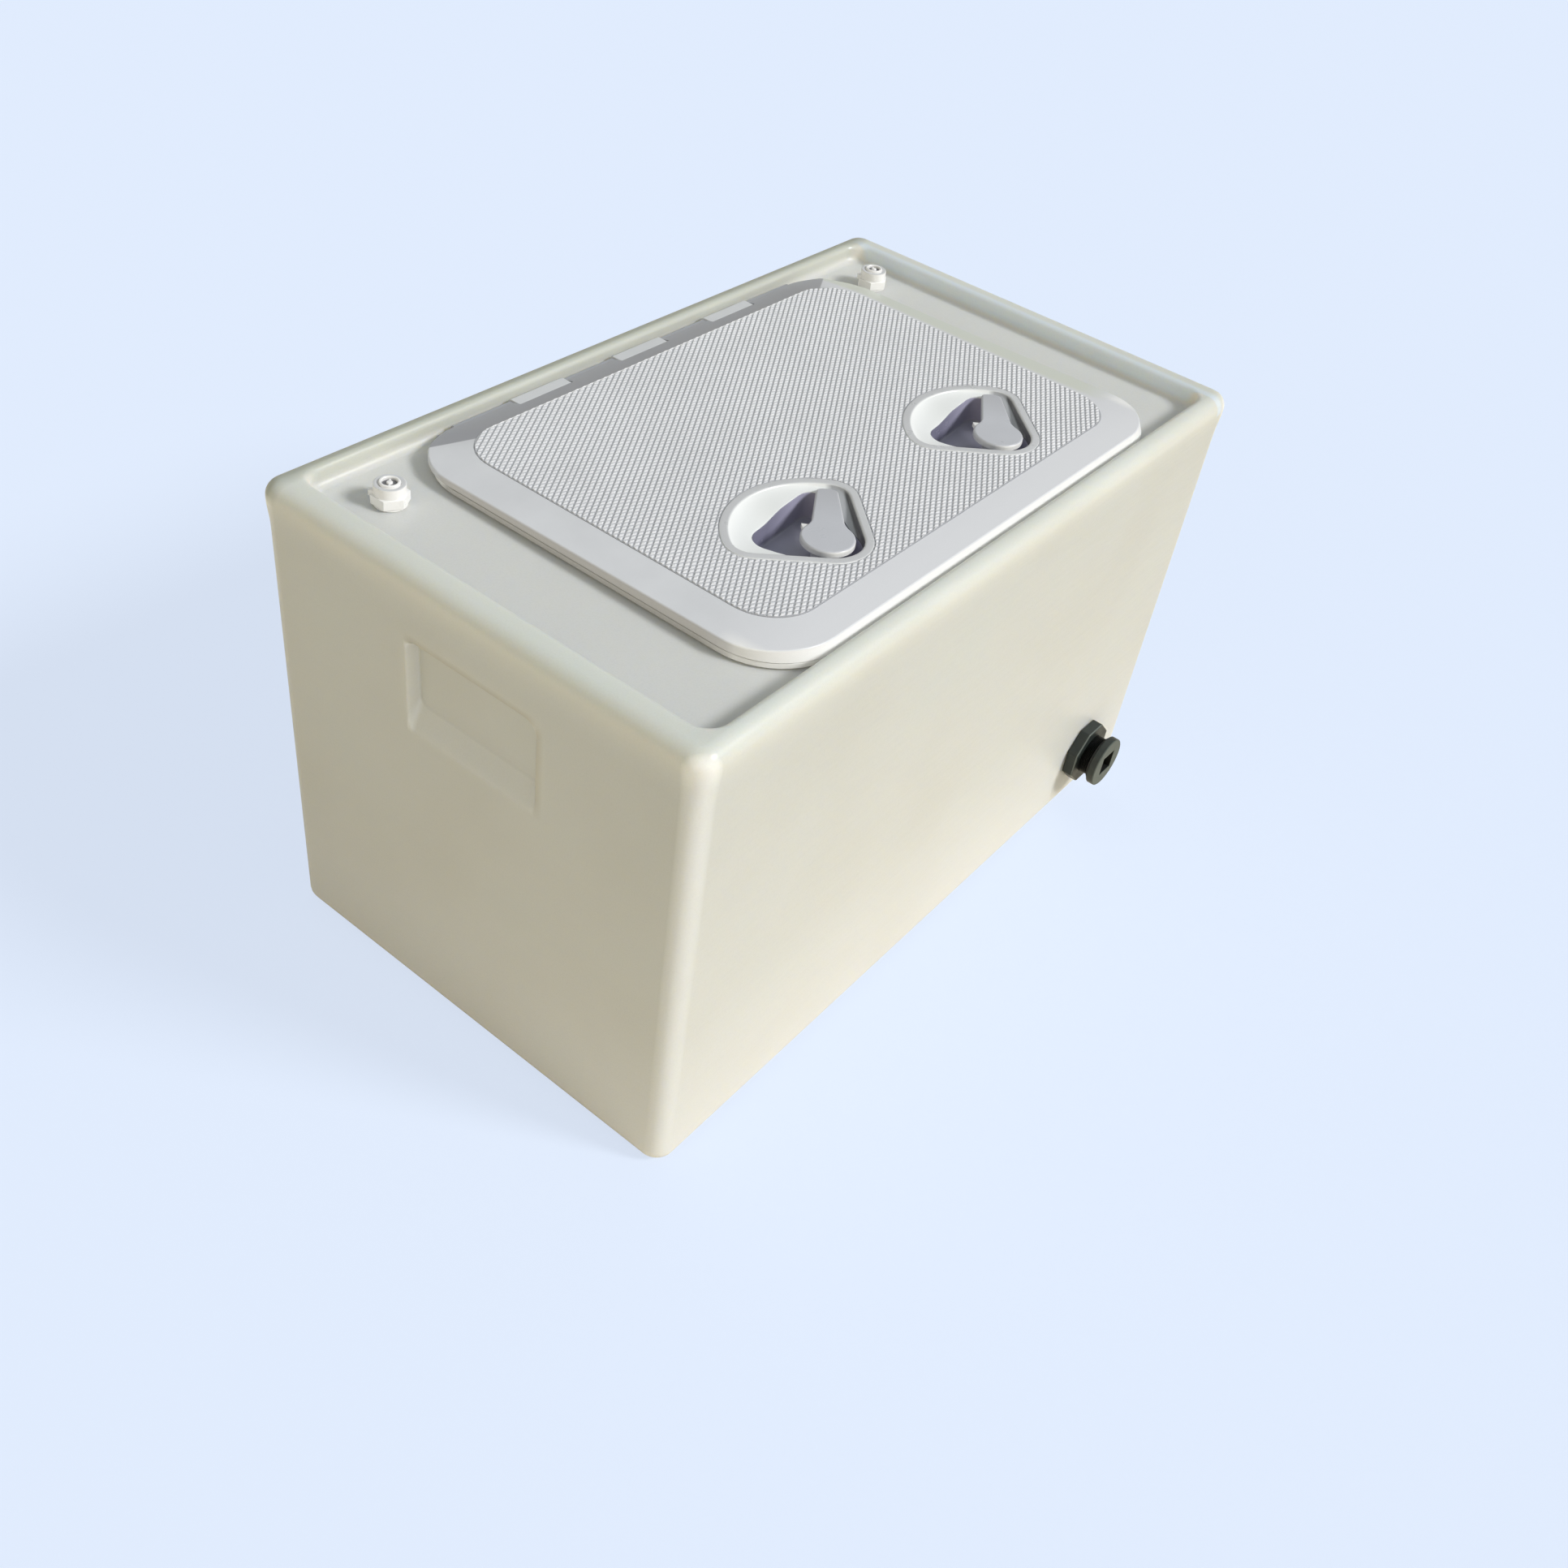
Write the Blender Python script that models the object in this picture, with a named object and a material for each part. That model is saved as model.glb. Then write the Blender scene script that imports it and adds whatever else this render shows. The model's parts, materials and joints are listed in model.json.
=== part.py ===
"""Live fish transport box: a moulded tank with a hinged, sealed deck hatch.

Metres, +Z up. The origin is the middle of the base. X runs along the tank, the drain
and the latches face -Y, and the hatch hinges towards +Y.
"""
import math

import bpy
import bmesh
from mathutils import Matrix, Vector

# Clearances
SEAT_GAP = 0.0003
RUNNING_GAP = 0.0001
CUT_OVERRUN = 0.003

# Tank
TANK_LENGTH = 0.600
TANK_WIDTH = 0.350
TANK_HEIGHT = 0.350
TANK_WALL = 0.005
TANK_CORNER = 0.014
TANK_DRAFT = 0.0004
BASE_ROUND = 0.011
FLOOR_ROUND = 0.006
RIM_HEIGHT = 0.018
RIM_STEP = 0.0010
RIM_END_WIDTH = 0.021
RIM_SIDE_WIDTH = 0.015
RIM_OUTER_ROUND = 0.0105
RIM_INNER_ROUND = 0.004
RIM_INNER_CORNER = 0.024
DECK_DEPTH = 0.013
DECK_THICKNESS = 0.005
DECK_COVE = 0.004

# Hand grips in the end walls
GRIP_WIDTH = 0.105
GRIP_HEIGHT = 0.066
GRIP_CENTRE_Y = -0.004
GRIP_CENTRE_Z = 0.269
GRIP_DEPTH = 0.009
GRIP_CORNER = 0.009
GRIP_SIDE_SLOPE = 0.003
GRIP_FOOT_SLOPE = 0.016

# Hatch outline
DECK_STRIP = 0.059
HATCH_SIDE_GAP = 0.0025
HATCH_LENGTH = TANK_LENGTH - 2 * (RIM_END_WIDTH + DECK_STRIP)
HATCH_WIDTH = TANK_WIDTH - 2 * (RIM_SIDE_WIDTH + HATCH_SIDE_GAP)
HATCH_CENTRE_X = 0.007
HATCH_CORNER = 0.048

# Frame that carries the hatch on the deck
GASKET_THICKNESS = 0.001
GASKET_SETBACK = 0.003
FLANGE_THICKNESS = 0.0032
FLANGE_REAR_SETBACK = 0.009
FLANGE_END_REACH = 0.036
FLANGE_SIDE_REACH = 0.035
NECK_LENGTH = HATCH_LENGTH - 2 * FLANGE_END_REACH
NECK_WIDTH = HATCH_WIDTH - 2 * FLANGE_SIDE_REACH
NECK_WALL = 0.003
NECK_CORNER = 0.030
NECK_DEPTH = 0.015
UPSTAND_HEIGHT = 0.0028
DECK_OPENING_GAP = 0.0025

# Frame screws
SCREW_SHANK_RADIUS = 0.0015
SCREW_HEAD_RADIUS = 0.0034
SCREW_HEAD_HEIGHT = 0.0016
SCREW_LENGTH = 0.012
SCREW_END_SETBACK = 0.059
SCREW_SIDE_SETBACK = 0.0575
SCREW_SPAN_X = NECK_LENGTH - 2 * SCREW_END_SETBACK
SCREW_SPAN_Y = NECK_WIDTH - 2 * SCREW_SIDE_SETBACK
SCREW_ROW = 3
SCREW_END_ROW = 2

# Hinge
HINGE_SETBACK = 0.0045
HINGE_RISE = 0.0004
LID_BEAD_RADIUS = 0.0026
KNUCKLE_RADIUS = 0.0036
KNUCKLE_LENGTH = 0.048
KNUCKLE_REACH = 0.0075
KNUCKLE_CHAMFER = 0.0008
KNUCKLE_PITCH = 0.097
KNUCKLE_COUNT = 3
KNUCKLE_SIDE_GAP = 0.0005
NOTCH_GAP = 0.0011
PIN_RADIUS = 0.0012
PIN_OVERLAP = 0.008

# Lid
LID_EDGE_HEIGHT = 0.0037
LID_EDGE_ROUND = 0.0018
LID_WALL = 0.0026
BORDER_RISE = 0.0044
GROOVE_DEPTH = 0.0012
GROOVE_WIDTH = 0.0008
BORDER_END_WIDTH = 0.026
BORDER_SIDE_WIDTH = 0.027
PAD_LENGTH = HATCH_LENGTH - 2 * BORDER_END_WIDTH
PAD_WIDTH = HATCH_WIDTH - 2 * BORDER_SIDE_WIDTH
PAD_CORNER = 0.033
PAD_RISE = 0.0010
PAD_THICKNESS = 0.0038
PAD_EDGE_ROUND = 0.0006
SEAL_WIDTH = 0.0065
SEAL_INSET = 0.001
SEAL_RIB = 0.002
SEAL_RIB_DROP = 0.0038

# Latches
LATCH_PITCH = 0.1925
LATCH_SETBACK = 0.0665
LATCH_HUB_RADIUS = 0.0225
LATCH_SWEEP_RADIUS = 0.060
LATCH_CORNER_RADIUS = 0.012
LATCH_CORNER_ANGLE = math.radians(35)
LATCH_RING = 0.006
LATCH_RING_THICKNESS = 0.002
BOWL_WALL = 0.002
BOWL_DEPTH = 0.0212
BOWL_FLOOR = 0.0025
CAVITY_HALF_WIDTH = 0.033
CAVITY_CORNER_Y = 0.024
CAVITY_CORNER_RADIUS = 0.0115
CAVITY_SIDE_INSET = 0.0005
SCOOP_LIP = 0.0008
SCOOP_DROP = 0.0052
SCOOP_FLOOR_DROP = 0.0067
SCOOP_SHARE = 0.30
HANDLE_REST_ANGLE = math.radians(39)
HANDLE_SWEEP = math.radians(102)
HANDLE_DISC_RADIUS = 0.0175
HANDLE_THICKNESS = 0.0050
HANDLE_TIP_THICKNESS = 0.0020
HANDLE_LENGTH = 0.0555
HANDLE_ROOT_X = 0.019
HANDLE_ROOT_HALF = 0.0096
HANDLE_TIP_HALF = 0.0062
HANDLE_SHOULDER = math.radians(50)
HANDLE_EDGE = 0.0006
HANDLE_HUB_RADIUS = 0.009
HANDLE_SINK = 0.0002
ORING_RADIUS = 0.006
ORING_THICKNESS = 0.0018
SPINDLE_RADIUS = 0.004
SPINDLE_STUB_RADIUS = 0.003
SPINDLE_STUB_LENGTH = 0.007
CAM_GAP = 0.0004
CAM_LENGTH = 0.040
CAM_WIDTH = 0.012
CAM_HUB_RADIUS = 0.008
CAM_THICKNESS = 0.004
CAM_NUT_RADIUS = 0.0058
CAM_NUT_HEIGHT = 0.003
SPINDLE_TAIL = 0.0008

# Oxygen ports
PORT_END_SETBACK = 0.054
PORT_SIDE_SETBACK = 0.056
PORT_X = TANK_LENGTH / 2 - PORT_END_SETBACK
PORT_Y = TANK_WIDTH / 2 - PORT_SIDE_SETBACK
PORT_WASHER_THICKNESS = 0.001
PORT_HEX_FLATS = 0.021
PORT_HEX_HEIGHT = 0.0064
PORT_BARREL_RADIUS = 0.0099
PORT_BARREL_HEIGHT = 0.0066
PORT_BARREL_ROUND = 0.0007
PORT_STEM_RADIUS = 0.006
PORT_STEM_LENGTH = 0.016
PORT_COLLET_BORE = 0.0065
PORT_COLLET_DEPTH = 0.0075
PORT_BORE = 0.0047
PORT_BORE_DEPTH = 0.0115
PORT_AIRWAY = 0.0028
PORT_NUT_FLATS = 0.019
PORT_NUT_HEIGHT = 0.005
PORT_LUG_REACH = 0.0145
PORT_LUG_WIDTH = 0.004
PORT_LUG_HEIGHT = 0.0042
PORT_LUG_ANGLE = math.radians(140)
COLLET_TRAVEL = 0.0010
COLLET_PROUD = 0.0012
COLLET_INNER = 0.0048
VALVE_HEAD_RADIUS = 0.0042
VALVE_HEAD_HEIGHT = 0.0018
VALVE_STEM_RADIUS = 0.0018
VALVE_STEM_DROP = 0.0012

# Drain
DRAIN_END_SETBACK = 0.0825
DRAIN_X = TANK_LENGTH / 2 - DRAIN_END_SETBACK
DRAIN_Z = 0.0515
DRAIN_TUBE_RADIUS = 0.0165
DRAIN_BORE_RADIUS = 0.012
DRAIN_PROUD = 0.0174
DRAIN_FLANGE_RADIUS = 0.024
DRAIN_FLANGE_THICKNESS = 0.004
DRAIN_WASHER_THICKNESS = 0.0015
DRAIN_NUT_FLATS = 0.0496
DRAIN_NUT_SIDES = 8
DRAIN_NUT_HEIGHT = 0.0095
DRAIN_NUT_BEVEL = 0.0012
DRAIN_SEAL_RADIUS = 0.0185
DRAIN_SEAL_THICKNESS = 0.0018
PLUG_HEAD_RADIUS = 0.0213
PLUG_HEAD_HEIGHT = 0.0066
PLUG_HEAD_ROUND = 0.0010
PLUG_SHANK_LENGTH = 0.0120
PLUG_SOCKET = 0.0150
PLUG_SOCKET_DEPTH = 0.0050
PLUG_TRAVEL = 0.0125

# Facets
CORNER_STEPS = 7
ROUND_STEPS = 3
RAY_STEPS = 48
CIRCLE_STEPS = 28
SMALL_STEPS = 14
SMOOTH_ANGLE = math.radians(32)

# Levels worked out from the sizes above
RIM_FOOT_Z = TANK_HEIGHT - RIM_HEIGHT
DECK_Z = TANK_HEIGHT - DECK_DEPTH
DECK_UNDER_Z = DECK_Z - DECK_THICKNESS
GASKET_Z = DECK_Z + SEAT_GAP
FLANGE_Z = GASKET_Z + GASKET_THICKNESS + SEAT_GAP
FLANGE_TOP_Z = FLANGE_Z + FLANGE_THICKNESS
UPSTAND_Z = FLANGE_TOP_Z + UPSTAND_HEIGHT
NECK_FOOT_Z = DECK_Z - NECK_DEPTH
LID_FOOT_Z = FLANGE_TOP_Z + SEAT_GAP
BORDER_EDGE_Z = LID_FOOT_Z + LID_EDGE_HEIGHT
BORDER_TOP_Z = BORDER_EDGE_Z + BORDER_RISE
PAD_TOP_Z = BORDER_TOP_Z + PAD_RISE
LID_UNDER_Z = PAD_TOP_Z - PAD_THICKNESS
SEAL_Z = UPSTAND_Z + SEAT_GAP
SEAL_TOP_Z = LID_UNDER_Z - SEAT_GAP

# Plan positions worked out from the sizes above
HATCH_FRONT_Y = -HATCH_WIDTH / 2
HATCH_REAR_Y = HATCH_WIDTH / 2
HINGE_Y = HATCH_REAR_Y - HINGE_SETBACK
HINGE_Z = FLANGE_TOP_Z + HINGE_RISE
FLANGE_REAR_Y = HATCH_REAR_Y - FLANGE_REAR_SETBACK
LATCH_Y = HATCH_FRONT_Y + LATCH_SETBACK
LATCH_CENTRES = (HATCH_CENTRE_X - LATCH_PITCH / 2, HATCH_CENTRE_X + LATCH_PITCH / 2)
RING_SEAT_Z = PAD_TOP_Z - LATCH_RING_THICKNESS - SEAT_GAP
BOWL_FLOOR_Z = PAD_TOP_Z - BOWL_DEPTH
BOWL_FOOT_Z = BOWL_FLOOR_Z - BOWL_FLOOR
HANDLE_TOP_Z = PAD_TOP_Z - HANDLE_SINK
HUB_FOOT_Z = BOWL_FLOOR_Z + ORING_THICKNESS + 2 * SEAT_GAP
CAM_TOP_Z = NECK_FOOT_Z - CAM_GAP
CAM_FOOT_Z = CAM_TOP_Z - CAM_THICKNESS
CAM_NUT_TOP_Z = CAM_FOOT_Z - SEAT_GAP
CAM_LOCKED_ANGLE = math.radians(270)
CAM_REST_ANGLE = CAM_LOCKED_ANGLE - HANDLE_SWEEP
PORT_HEX_Z = DECK_Z + PORT_WASHER_THICKNESS + 2 * SEAT_GAP
PORT_BARREL_Z = PORT_HEX_Z + PORT_HEX_HEIGHT
PORT_TOP_Z = PORT_BARREL_Z + PORT_BARREL_HEIGHT


def clear_scene():
    for ob in list(bpy.data.objects):
        bpy.data.objects.remove(ob, do_unlink=True)


def material(name, colour, roughness):
    mat = bpy.data.materials.new(name)
    mat.use_nodes = True
    shader = mat.node_tree.nodes["Principled BSDF"]
    shader.inputs["Base Color"].default_value = (*colour, 1.0)
    shader.inputs["Roughness"].default_value = roughness
    mat.diffuse_color = (*colour, 1.0)
    return mat


def solid(name, bm, mat=None, origin=(0.0, 0.0, 0.0)):
    """Turn a bmesh in world coordinates into an object whose origin is at the given point."""
    bmesh.ops.recalc_face_normals(bm, faces=bm.faces)
    bmesh.ops.translate(bm, verts=bm.verts, vec=-Vector(origin))
    mesh = bpy.data.meshes.new(name)
    bm.to_mesh(mesh)
    bm.free()
    ob = bpy.data.objects.new(name, mesh)
    ob.location = origin
    bpy.context.scene.collection.objects.link(ob)
    if mat:
        mesh.materials.append(mat)
    mesh.shade_smooth()
    mesh.set_sharp_from_angle(angle=SMOOTH_ANGLE)
    return ob


def combine(target, tool, operation):
    """Apply one exact boolean and drop the tool."""
    modifier = target.modifiers.new("Combine", "BOOLEAN")
    modifier.operation = operation
    modifier.object = tool
    bpy.context.view_layer.update()
    bpy.context.view_layer.objects.active = target
    bpy.ops.object.modifier_apply(modifier=modifier.name)
    bpy.data.objects.remove(tool, do_unlink=True)
    target.data.shade_smooth()
    target.data.set_sharp_from_angle(angle=SMOOTH_ANGLE)


def cut(target, pieces):
    """Cut all the given bmeshes out of the target at once."""
    combine(target, solid("cutter", merged(pieces)), "DIFFERENCE")


def join(target, pieces):
    """Join the given bmeshes to the target, one body with it."""
    combine(target, solid("addition", merged(pieces)), "UNION")


def merged(pieces):
    """One bmesh that holds several closed ones side by side."""
    whole = bmesh.new()
    for piece in pieces:
        bmesh.ops.recalc_face_normals(piece, faces=piece.faces)
        copies = {vert: whole.verts.new(vert.co) for vert in piece.verts}
        for face in piece.faces:
            whole.faces.new([copies[vert] for vert in face.verts])
        piece.free()
    return whole


def loft(rings, closed=False):
    """Skin a row of rings that have as many points each, capped unless it closes on itself."""
    bm = bmesh.new()
    rows = [[bm.verts.new(point) for point in ring] for ring in rings]
    pairs = list(zip(rows, rows[1:]))
    if closed:
        pairs.append((rows[-1], rows[0]))
    count = len(rows[0])
    for low, high in pairs:
        for i in range(count):
            j = (i + 1) % count
            bm.faces.new((low[i], low[j], high[j], high[i]))
    if not closed:
        bm.faces.new(rows[0])
        bm.faces.new(rows[-1])
    return bm


def rectangle(x0, x1, y0, y1, radius, z):
    """A ring with rounded corners, from the +X +Y corner round."""
    corners = ((x1, y1, 0), (x0, y1, 1), (x0, y0, 2), (x1, y0, 3))
    points = []
    for x, y, quarter in corners:
        centre_x = x - math.copysign(radius, x - (x0 + x1) / 2)
        centre_y = y - math.copysign(radius, y - (y0 + y1) / 2)
        for step in range(CORNER_STEPS + 1):
            angle = math.pi / 2 * (quarter + step / CORNER_STEPS)
            points.append(Vector((centre_x + radius * math.cos(angle), centre_y + radius * math.sin(angle), z)))
    return points


def circle(radius, height, steps=CIRCLE_STEPS):
    return [Vector((radius * math.cos(2 * math.pi * i / steps), radius * math.sin(2 * math.pi * i / steps), height))
            for i in range(steps)]


def turned(profile, steps=CIRCLE_STEPS, closed=False):
    """A turned piece on Z from (radius, height) pairs."""
    return loft([circle(radius, height, steps) for radius, height in profile], closed)


def prism(outline, low, high):
    """An extruded outline of (x, y) pairs."""
    return loft([[Vector((x, y, z)) for x, y in outline] for z in (low, high)])


def polygon(flats, sides=6, turn=0.0):
    """A regular polygon by its width over the flats; turn moves its first corner."""
    corner = flats / 2 / math.cos(math.pi / sides)
    angles = [turn + 2 * math.pi * i / sides for i in range(sides)]
    return [(corner * math.cos(angle), corner * math.sin(angle)) for angle in angles]


def moved(bm, offset, turn=0.0):
    """Turn a bmesh about Z, then move it."""
    bmesh.ops.rotate(bm, verts=bm.verts, cent=(0, 0, 0), matrix=Matrix.Rotation(turn, 3, "Z"))
    bmesh.ops.translate(bm, verts=bm.verts, vec=offset)
    return bm


def along_x(bm):
    """Lay a piece made on Z along +X."""
    bmesh.ops.rotate(bm, verts=bm.verts, cent=(0, 0, 0), matrix=Matrix.Rotation(math.pi / 2, 3, "Y"))
    return bm


def facing_front(bm):
    """Lay a piece made on Z so that its top faces -Y."""
    bmesh.ops.rotate(bm, verts=bm.verts, cent=(0, 0, 0), matrix=Matrix.Rotation(math.pi / 2, 3, "X"))
    return bm


def wall_inset(z):
    """How far the wall stands in from the rim's outer face."""
    return RIM_STEP + TANK_DRAFT * (1 - z / RIM_FOOT_Z)


def tank_ring(inset, z, corner):
    half_x = TANK_LENGTH / 2 - inset
    half_y = TANK_WIDTH / 2 - inset
    return rectangle(-half_x, half_x, -half_y, half_y, corner, z)


def rim_ring(outward, z):
    """A ring on the inner side of the rim, moved outwards from its upright face."""
    half_x = TANK_LENGTH / 2 - RIM_END_WIDTH + outward
    half_y = TANK_WIDTH / 2 - RIM_SIDE_WIDTH + outward
    return rectangle(-half_x, half_x, -half_y, half_y, RIM_INNER_CORNER + outward, z)


def hatch_ring(length, width, corner, outward, z):
    """A ring centred on the hatch."""
    half_x = length / 2 + outward
    half_y = width / 2 + outward
    return rectangle(HATCH_CENTRE_X - half_x, HATCH_CENTRE_X + half_x, -half_y, half_y, corner + outward, z)


def neck_ring(outward, z):
    return hatch_ring(NECK_LENGTH, NECK_WIDTH, NECK_CORNER, outward, z)


def flange_ring(outward, z):
    half_x = HATCH_LENGTH / 2 + outward
    return rectangle(HATCH_CENTRE_X - half_x, HATCH_CENTRE_X + half_x, HATCH_FRONT_Y - outward,
                     FLANGE_REAR_Y + outward, HATCH_CORNER + outward, z)


def lid_ring(outward, z):
    half_x = HATCH_LENGTH / 2 + outward
    return rectangle(HATCH_CENTRE_X - half_x, HATCH_CENTRE_X + half_x, HATCH_FRONT_Y - outward,
                     HINGE_Y + outward, HATCH_CORNER + outward, z)


def pad_ring(outward, z):
    return hatch_ring(PAD_LENGTH, PAD_WIDTH, PAD_CORNER, outward, z)


def tank_outer_rings():
    rings = []
    for step in range(ROUND_STEPS + 1):
        angle = math.pi / 2 * step / ROUND_STEPS
        inset = BASE_ROUND * (1 - math.sin(angle))
        z = BASE_ROUND * (1 - math.cos(angle))
        rings.append(tank_ring(wall_inset(z) + inset, z, TANK_CORNER - inset))
    rings.append(tank_ring(wall_inset(RIM_FOOT_Z), RIM_FOOT_Z, TANK_CORNER))
    rings.append(tank_ring(0.0, RIM_FOOT_Z + RIM_STEP, TANK_CORNER))
    for step in range(ROUND_STEPS + 1):
        angle = math.pi / 2 * step / ROUND_STEPS
        inset = RIM_OUTER_ROUND * (1 - math.cos(angle))
        z = TANK_HEIGHT - RIM_OUTER_ROUND * (1 - math.sin(angle))
        rings.append(tank_ring(inset, z, TANK_CORNER - inset))
    return rings


def tank_rim_rings():
    rings = []
    for step in range(ROUND_STEPS + 1):
        angle = math.pi / 2 * step / ROUND_STEPS
        rings.append(rim_ring(RIM_INNER_ROUND * (1 - math.sin(angle)),
                              TANK_HEIGHT - RIM_INNER_ROUND * (1 - math.cos(angle))))
    for step in range(ROUND_STEPS + 1):
        angle = math.pi / 2 * step / ROUND_STEPS
        rings.append(rim_ring(-DECK_COVE * (1 - math.cos(angle)), DECK_Z + DECK_COVE * (1 - math.sin(angle))))
    return rings


def tank_inner_rings():
    inner_corner = TANK_CORNER - TANK_WALL
    rings = [tank_ring(wall_inset(DECK_UNDER_Z) + TANK_WALL, DECK_UNDER_Z, inner_corner)]
    for step in range(ROUND_STEPS + 1):
        angle = math.pi / 2 * step / ROUND_STEPS
        inset = FLOOR_ROUND * (1 - math.cos(angle))
        z = TANK_WALL + FLOOR_ROUND * (1 - math.sin(angle))
        rings.append(tank_ring(wall_inset(z) + TANK_WALL + inset, z, inner_corner - inset))
    return rings


def grip_ring(side, depth, inset, foot):
    """A ring on the end wall: inset on top and sides, foot is the inset at its lower edge."""
    x = side * (TANK_LENGTH / 2 - wall_inset(GRIP_CENTRE_Z) - depth)
    half = GRIP_WIDTH / 2 - inset
    low = GRIP_CENTRE_Z - GRIP_HEIGHT / 2 + foot
    high = GRIP_CENTRE_Z + GRIP_HEIGHT / 2 - inset
    flat = rectangle(GRIP_CENTRE_Y - half, GRIP_CENTRE_Y + half, low, high, max(GRIP_CORNER - inset, SEAT_GAP), 0.0)
    return [Vector((x, point.x, point.y)) for point in flat]


def grip_recess(side):
    rings = [grip_ring(side, -CUT_OVERRUN, -GRIP_SIDE_SLOPE / 2, -GRIP_SIDE_SLOPE)]
    rings.append(grip_ring(side, GRIP_DEPTH / 8, 0.0, GRIP_FOOT_SLOPE / 8))
    rings.append(grip_ring(side, GRIP_DEPTH * 3 / 4, GRIP_SIDE_SLOPE / 2, GRIP_FOOT_SLOPE * 3 / 4))
    rings.append(grip_ring(side, GRIP_DEPTH, GRIP_SIDE_SLOPE, GRIP_FOOT_SLOPE))
    return loft(rings)


def grip_boss(side):
    """The inward swelling that keeps the wall's thickness behind the recess."""
    rings = [grip_ring(side, TANK_WALL / 2, -TANK_WALL, -TANK_WALL)]
    rings.append(grip_ring(side, GRIP_DEPTH + TANK_WALL, GRIP_SIDE_SLOPE - TANK_WALL, GRIP_FOOT_SLOPE - TANK_WALL))
    return loft(rings)


def screw_places():
    """Screws on the middle line of the flange, front, rear and ends."""
    front = (HATCH_FRONT_Y - NECK_WIDTH / 2) / 2
    rear = (FLANGE_REAR_Y + NECK_WIDTH / 2) / 2
    end = (HATCH_LENGTH + NECK_LENGTH) / 4
    places = []
    for y in (front, rear):
        for i in range(SCREW_ROW):
            share = i / (SCREW_ROW - 1) - 0.5
            places.append((HATCH_CENTRE_X + share * SCREW_SPAN_X, y))
    for x in (HATCH_CENTRE_X - end, HATCH_CENTRE_X + end):
        for i in range(SCREW_END_ROW):
            share = i / (SCREW_END_ROW - 1) - 0.5
            places.append((x, share * SCREW_SPAN_Y))
    return places


def screw_holes(low, high):
    radius = SCREW_SHANK_RADIUS + SEAT_GAP
    return [moved(turned([(radius, low), (radius, high)], SMALL_STEPS), (x, y, 0)) for x, y in screw_places()]


def port_places():
    return ((-PORT_X, PORT_Y), (PORT_X, PORT_Y))


def drain_wall_y():
    """The wall's outer face at the drain, on -Y."""
    return -(TANK_WIDTH / 2 - wall_inset(DRAIN_Z))


def make_tank(mat):
    rings = tank_outer_rings() + tank_rim_rings()
    rings.append(neck_ring(DECK_OPENING_GAP, DECK_Z))
    rings.append(neck_ring(DECK_OPENING_GAP, DECK_UNDER_Z))
    rings += tank_inner_rings()
    tank = solid("tank_shell", loft(rings), mat)
    join(tank, [grip_boss(-1), grip_boss(1)])
    cutters = [grip_recess(-1), grip_recess(1)]
    cutters += screw_holes(DECK_UNDER_Z - CUT_OVERRUN, DECK_Z + CUT_OVERRUN)
    stem_hole = PORT_STEM_RADIUS + SEAT_GAP
    for x, y in port_places():
        hole = turned([(stem_hole, DECK_UNDER_Z - CUT_OVERRUN), (stem_hole, DECK_Z + CUT_OVERRUN)], SMALL_STEPS)
        cutters.append(moved(hole, (x, y, 0)))
    drain_hole = DRAIN_TUBE_RADIUS + SEAT_GAP
    reach = TANK_WALL + CUT_OVERRUN
    hole = facing_front(turned([(drain_hole, -reach), (drain_hole, reach)]))
    cutters.append(moved(hole, (DRAIN_X, drain_wall_y(), DRAIN_Z)))
    cut(tank, cutters)


def make_gasket(mat):
    top = GASKET_Z + GASKET_THICKNESS
    inner = DECK_OPENING_GAP + SEAT_GAP
    rings = [flange_ring(-GASKET_SETBACK, GASKET_Z), flange_ring(-GASKET_SETBACK, top)]
    rings += [neck_ring(inner, top), neck_ring(inner, GASKET_Z)]
    gasket = solid("deck_gasket", loft(rings, closed=True), mat)
    cut(gasket, screw_holes(GASKET_Z - CUT_OVERRUN, top + CUT_OVERRUN))


def knuckle_centres():
    middle = (KNUCKLE_COUNT - 1) / 2
    return [HATCH_CENTRE_X + (i - middle) * KNUCKLE_PITCH for i in range(KNUCKLE_COUNT)]


def knuckle_block(x):
    """A frame knuckle: a block on the flange that ends in a round about the hinge line."""
    front = HINGE_Y - KNUCKLE_REACH
    top = HINGE_Z + KNUCKLE_RADIUS
    foot = FLANGE_Z + SEAT_GAP
    profile = [(front, foot), (front, top - KNUCKLE_CHAMFER), (front + KNUCKLE_CHAMFER, top)]
    for step in range(2 * ROUND_STEPS + 1):
        angle = math.pi / 2 * (1 - step / (2 * ROUND_STEPS))
        profile.append((HINGE_Y + KNUCKLE_RADIUS * math.cos(angle), HINGE_Z + KNUCKLE_RADIUS * math.sin(angle)))
    profile.append((HINGE_Y + KNUCKLE_RADIUS, foot))
    ends = (x - KNUCKLE_LENGTH / 2, x + KNUCKLE_LENGTH / 2)
    return loft([[Vector((end, y, z)) for y, z in profile] for end in ends])


def hinge_rod(x, radius, length):
    """A rod on the hinge line, centred at x."""
    rod = along_x(turned([(radius, -length / 2), (radius, length / 2)], SMALL_STEPS))
    return moved(rod, (x, HINGE_Y, HINGE_Z))


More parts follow.
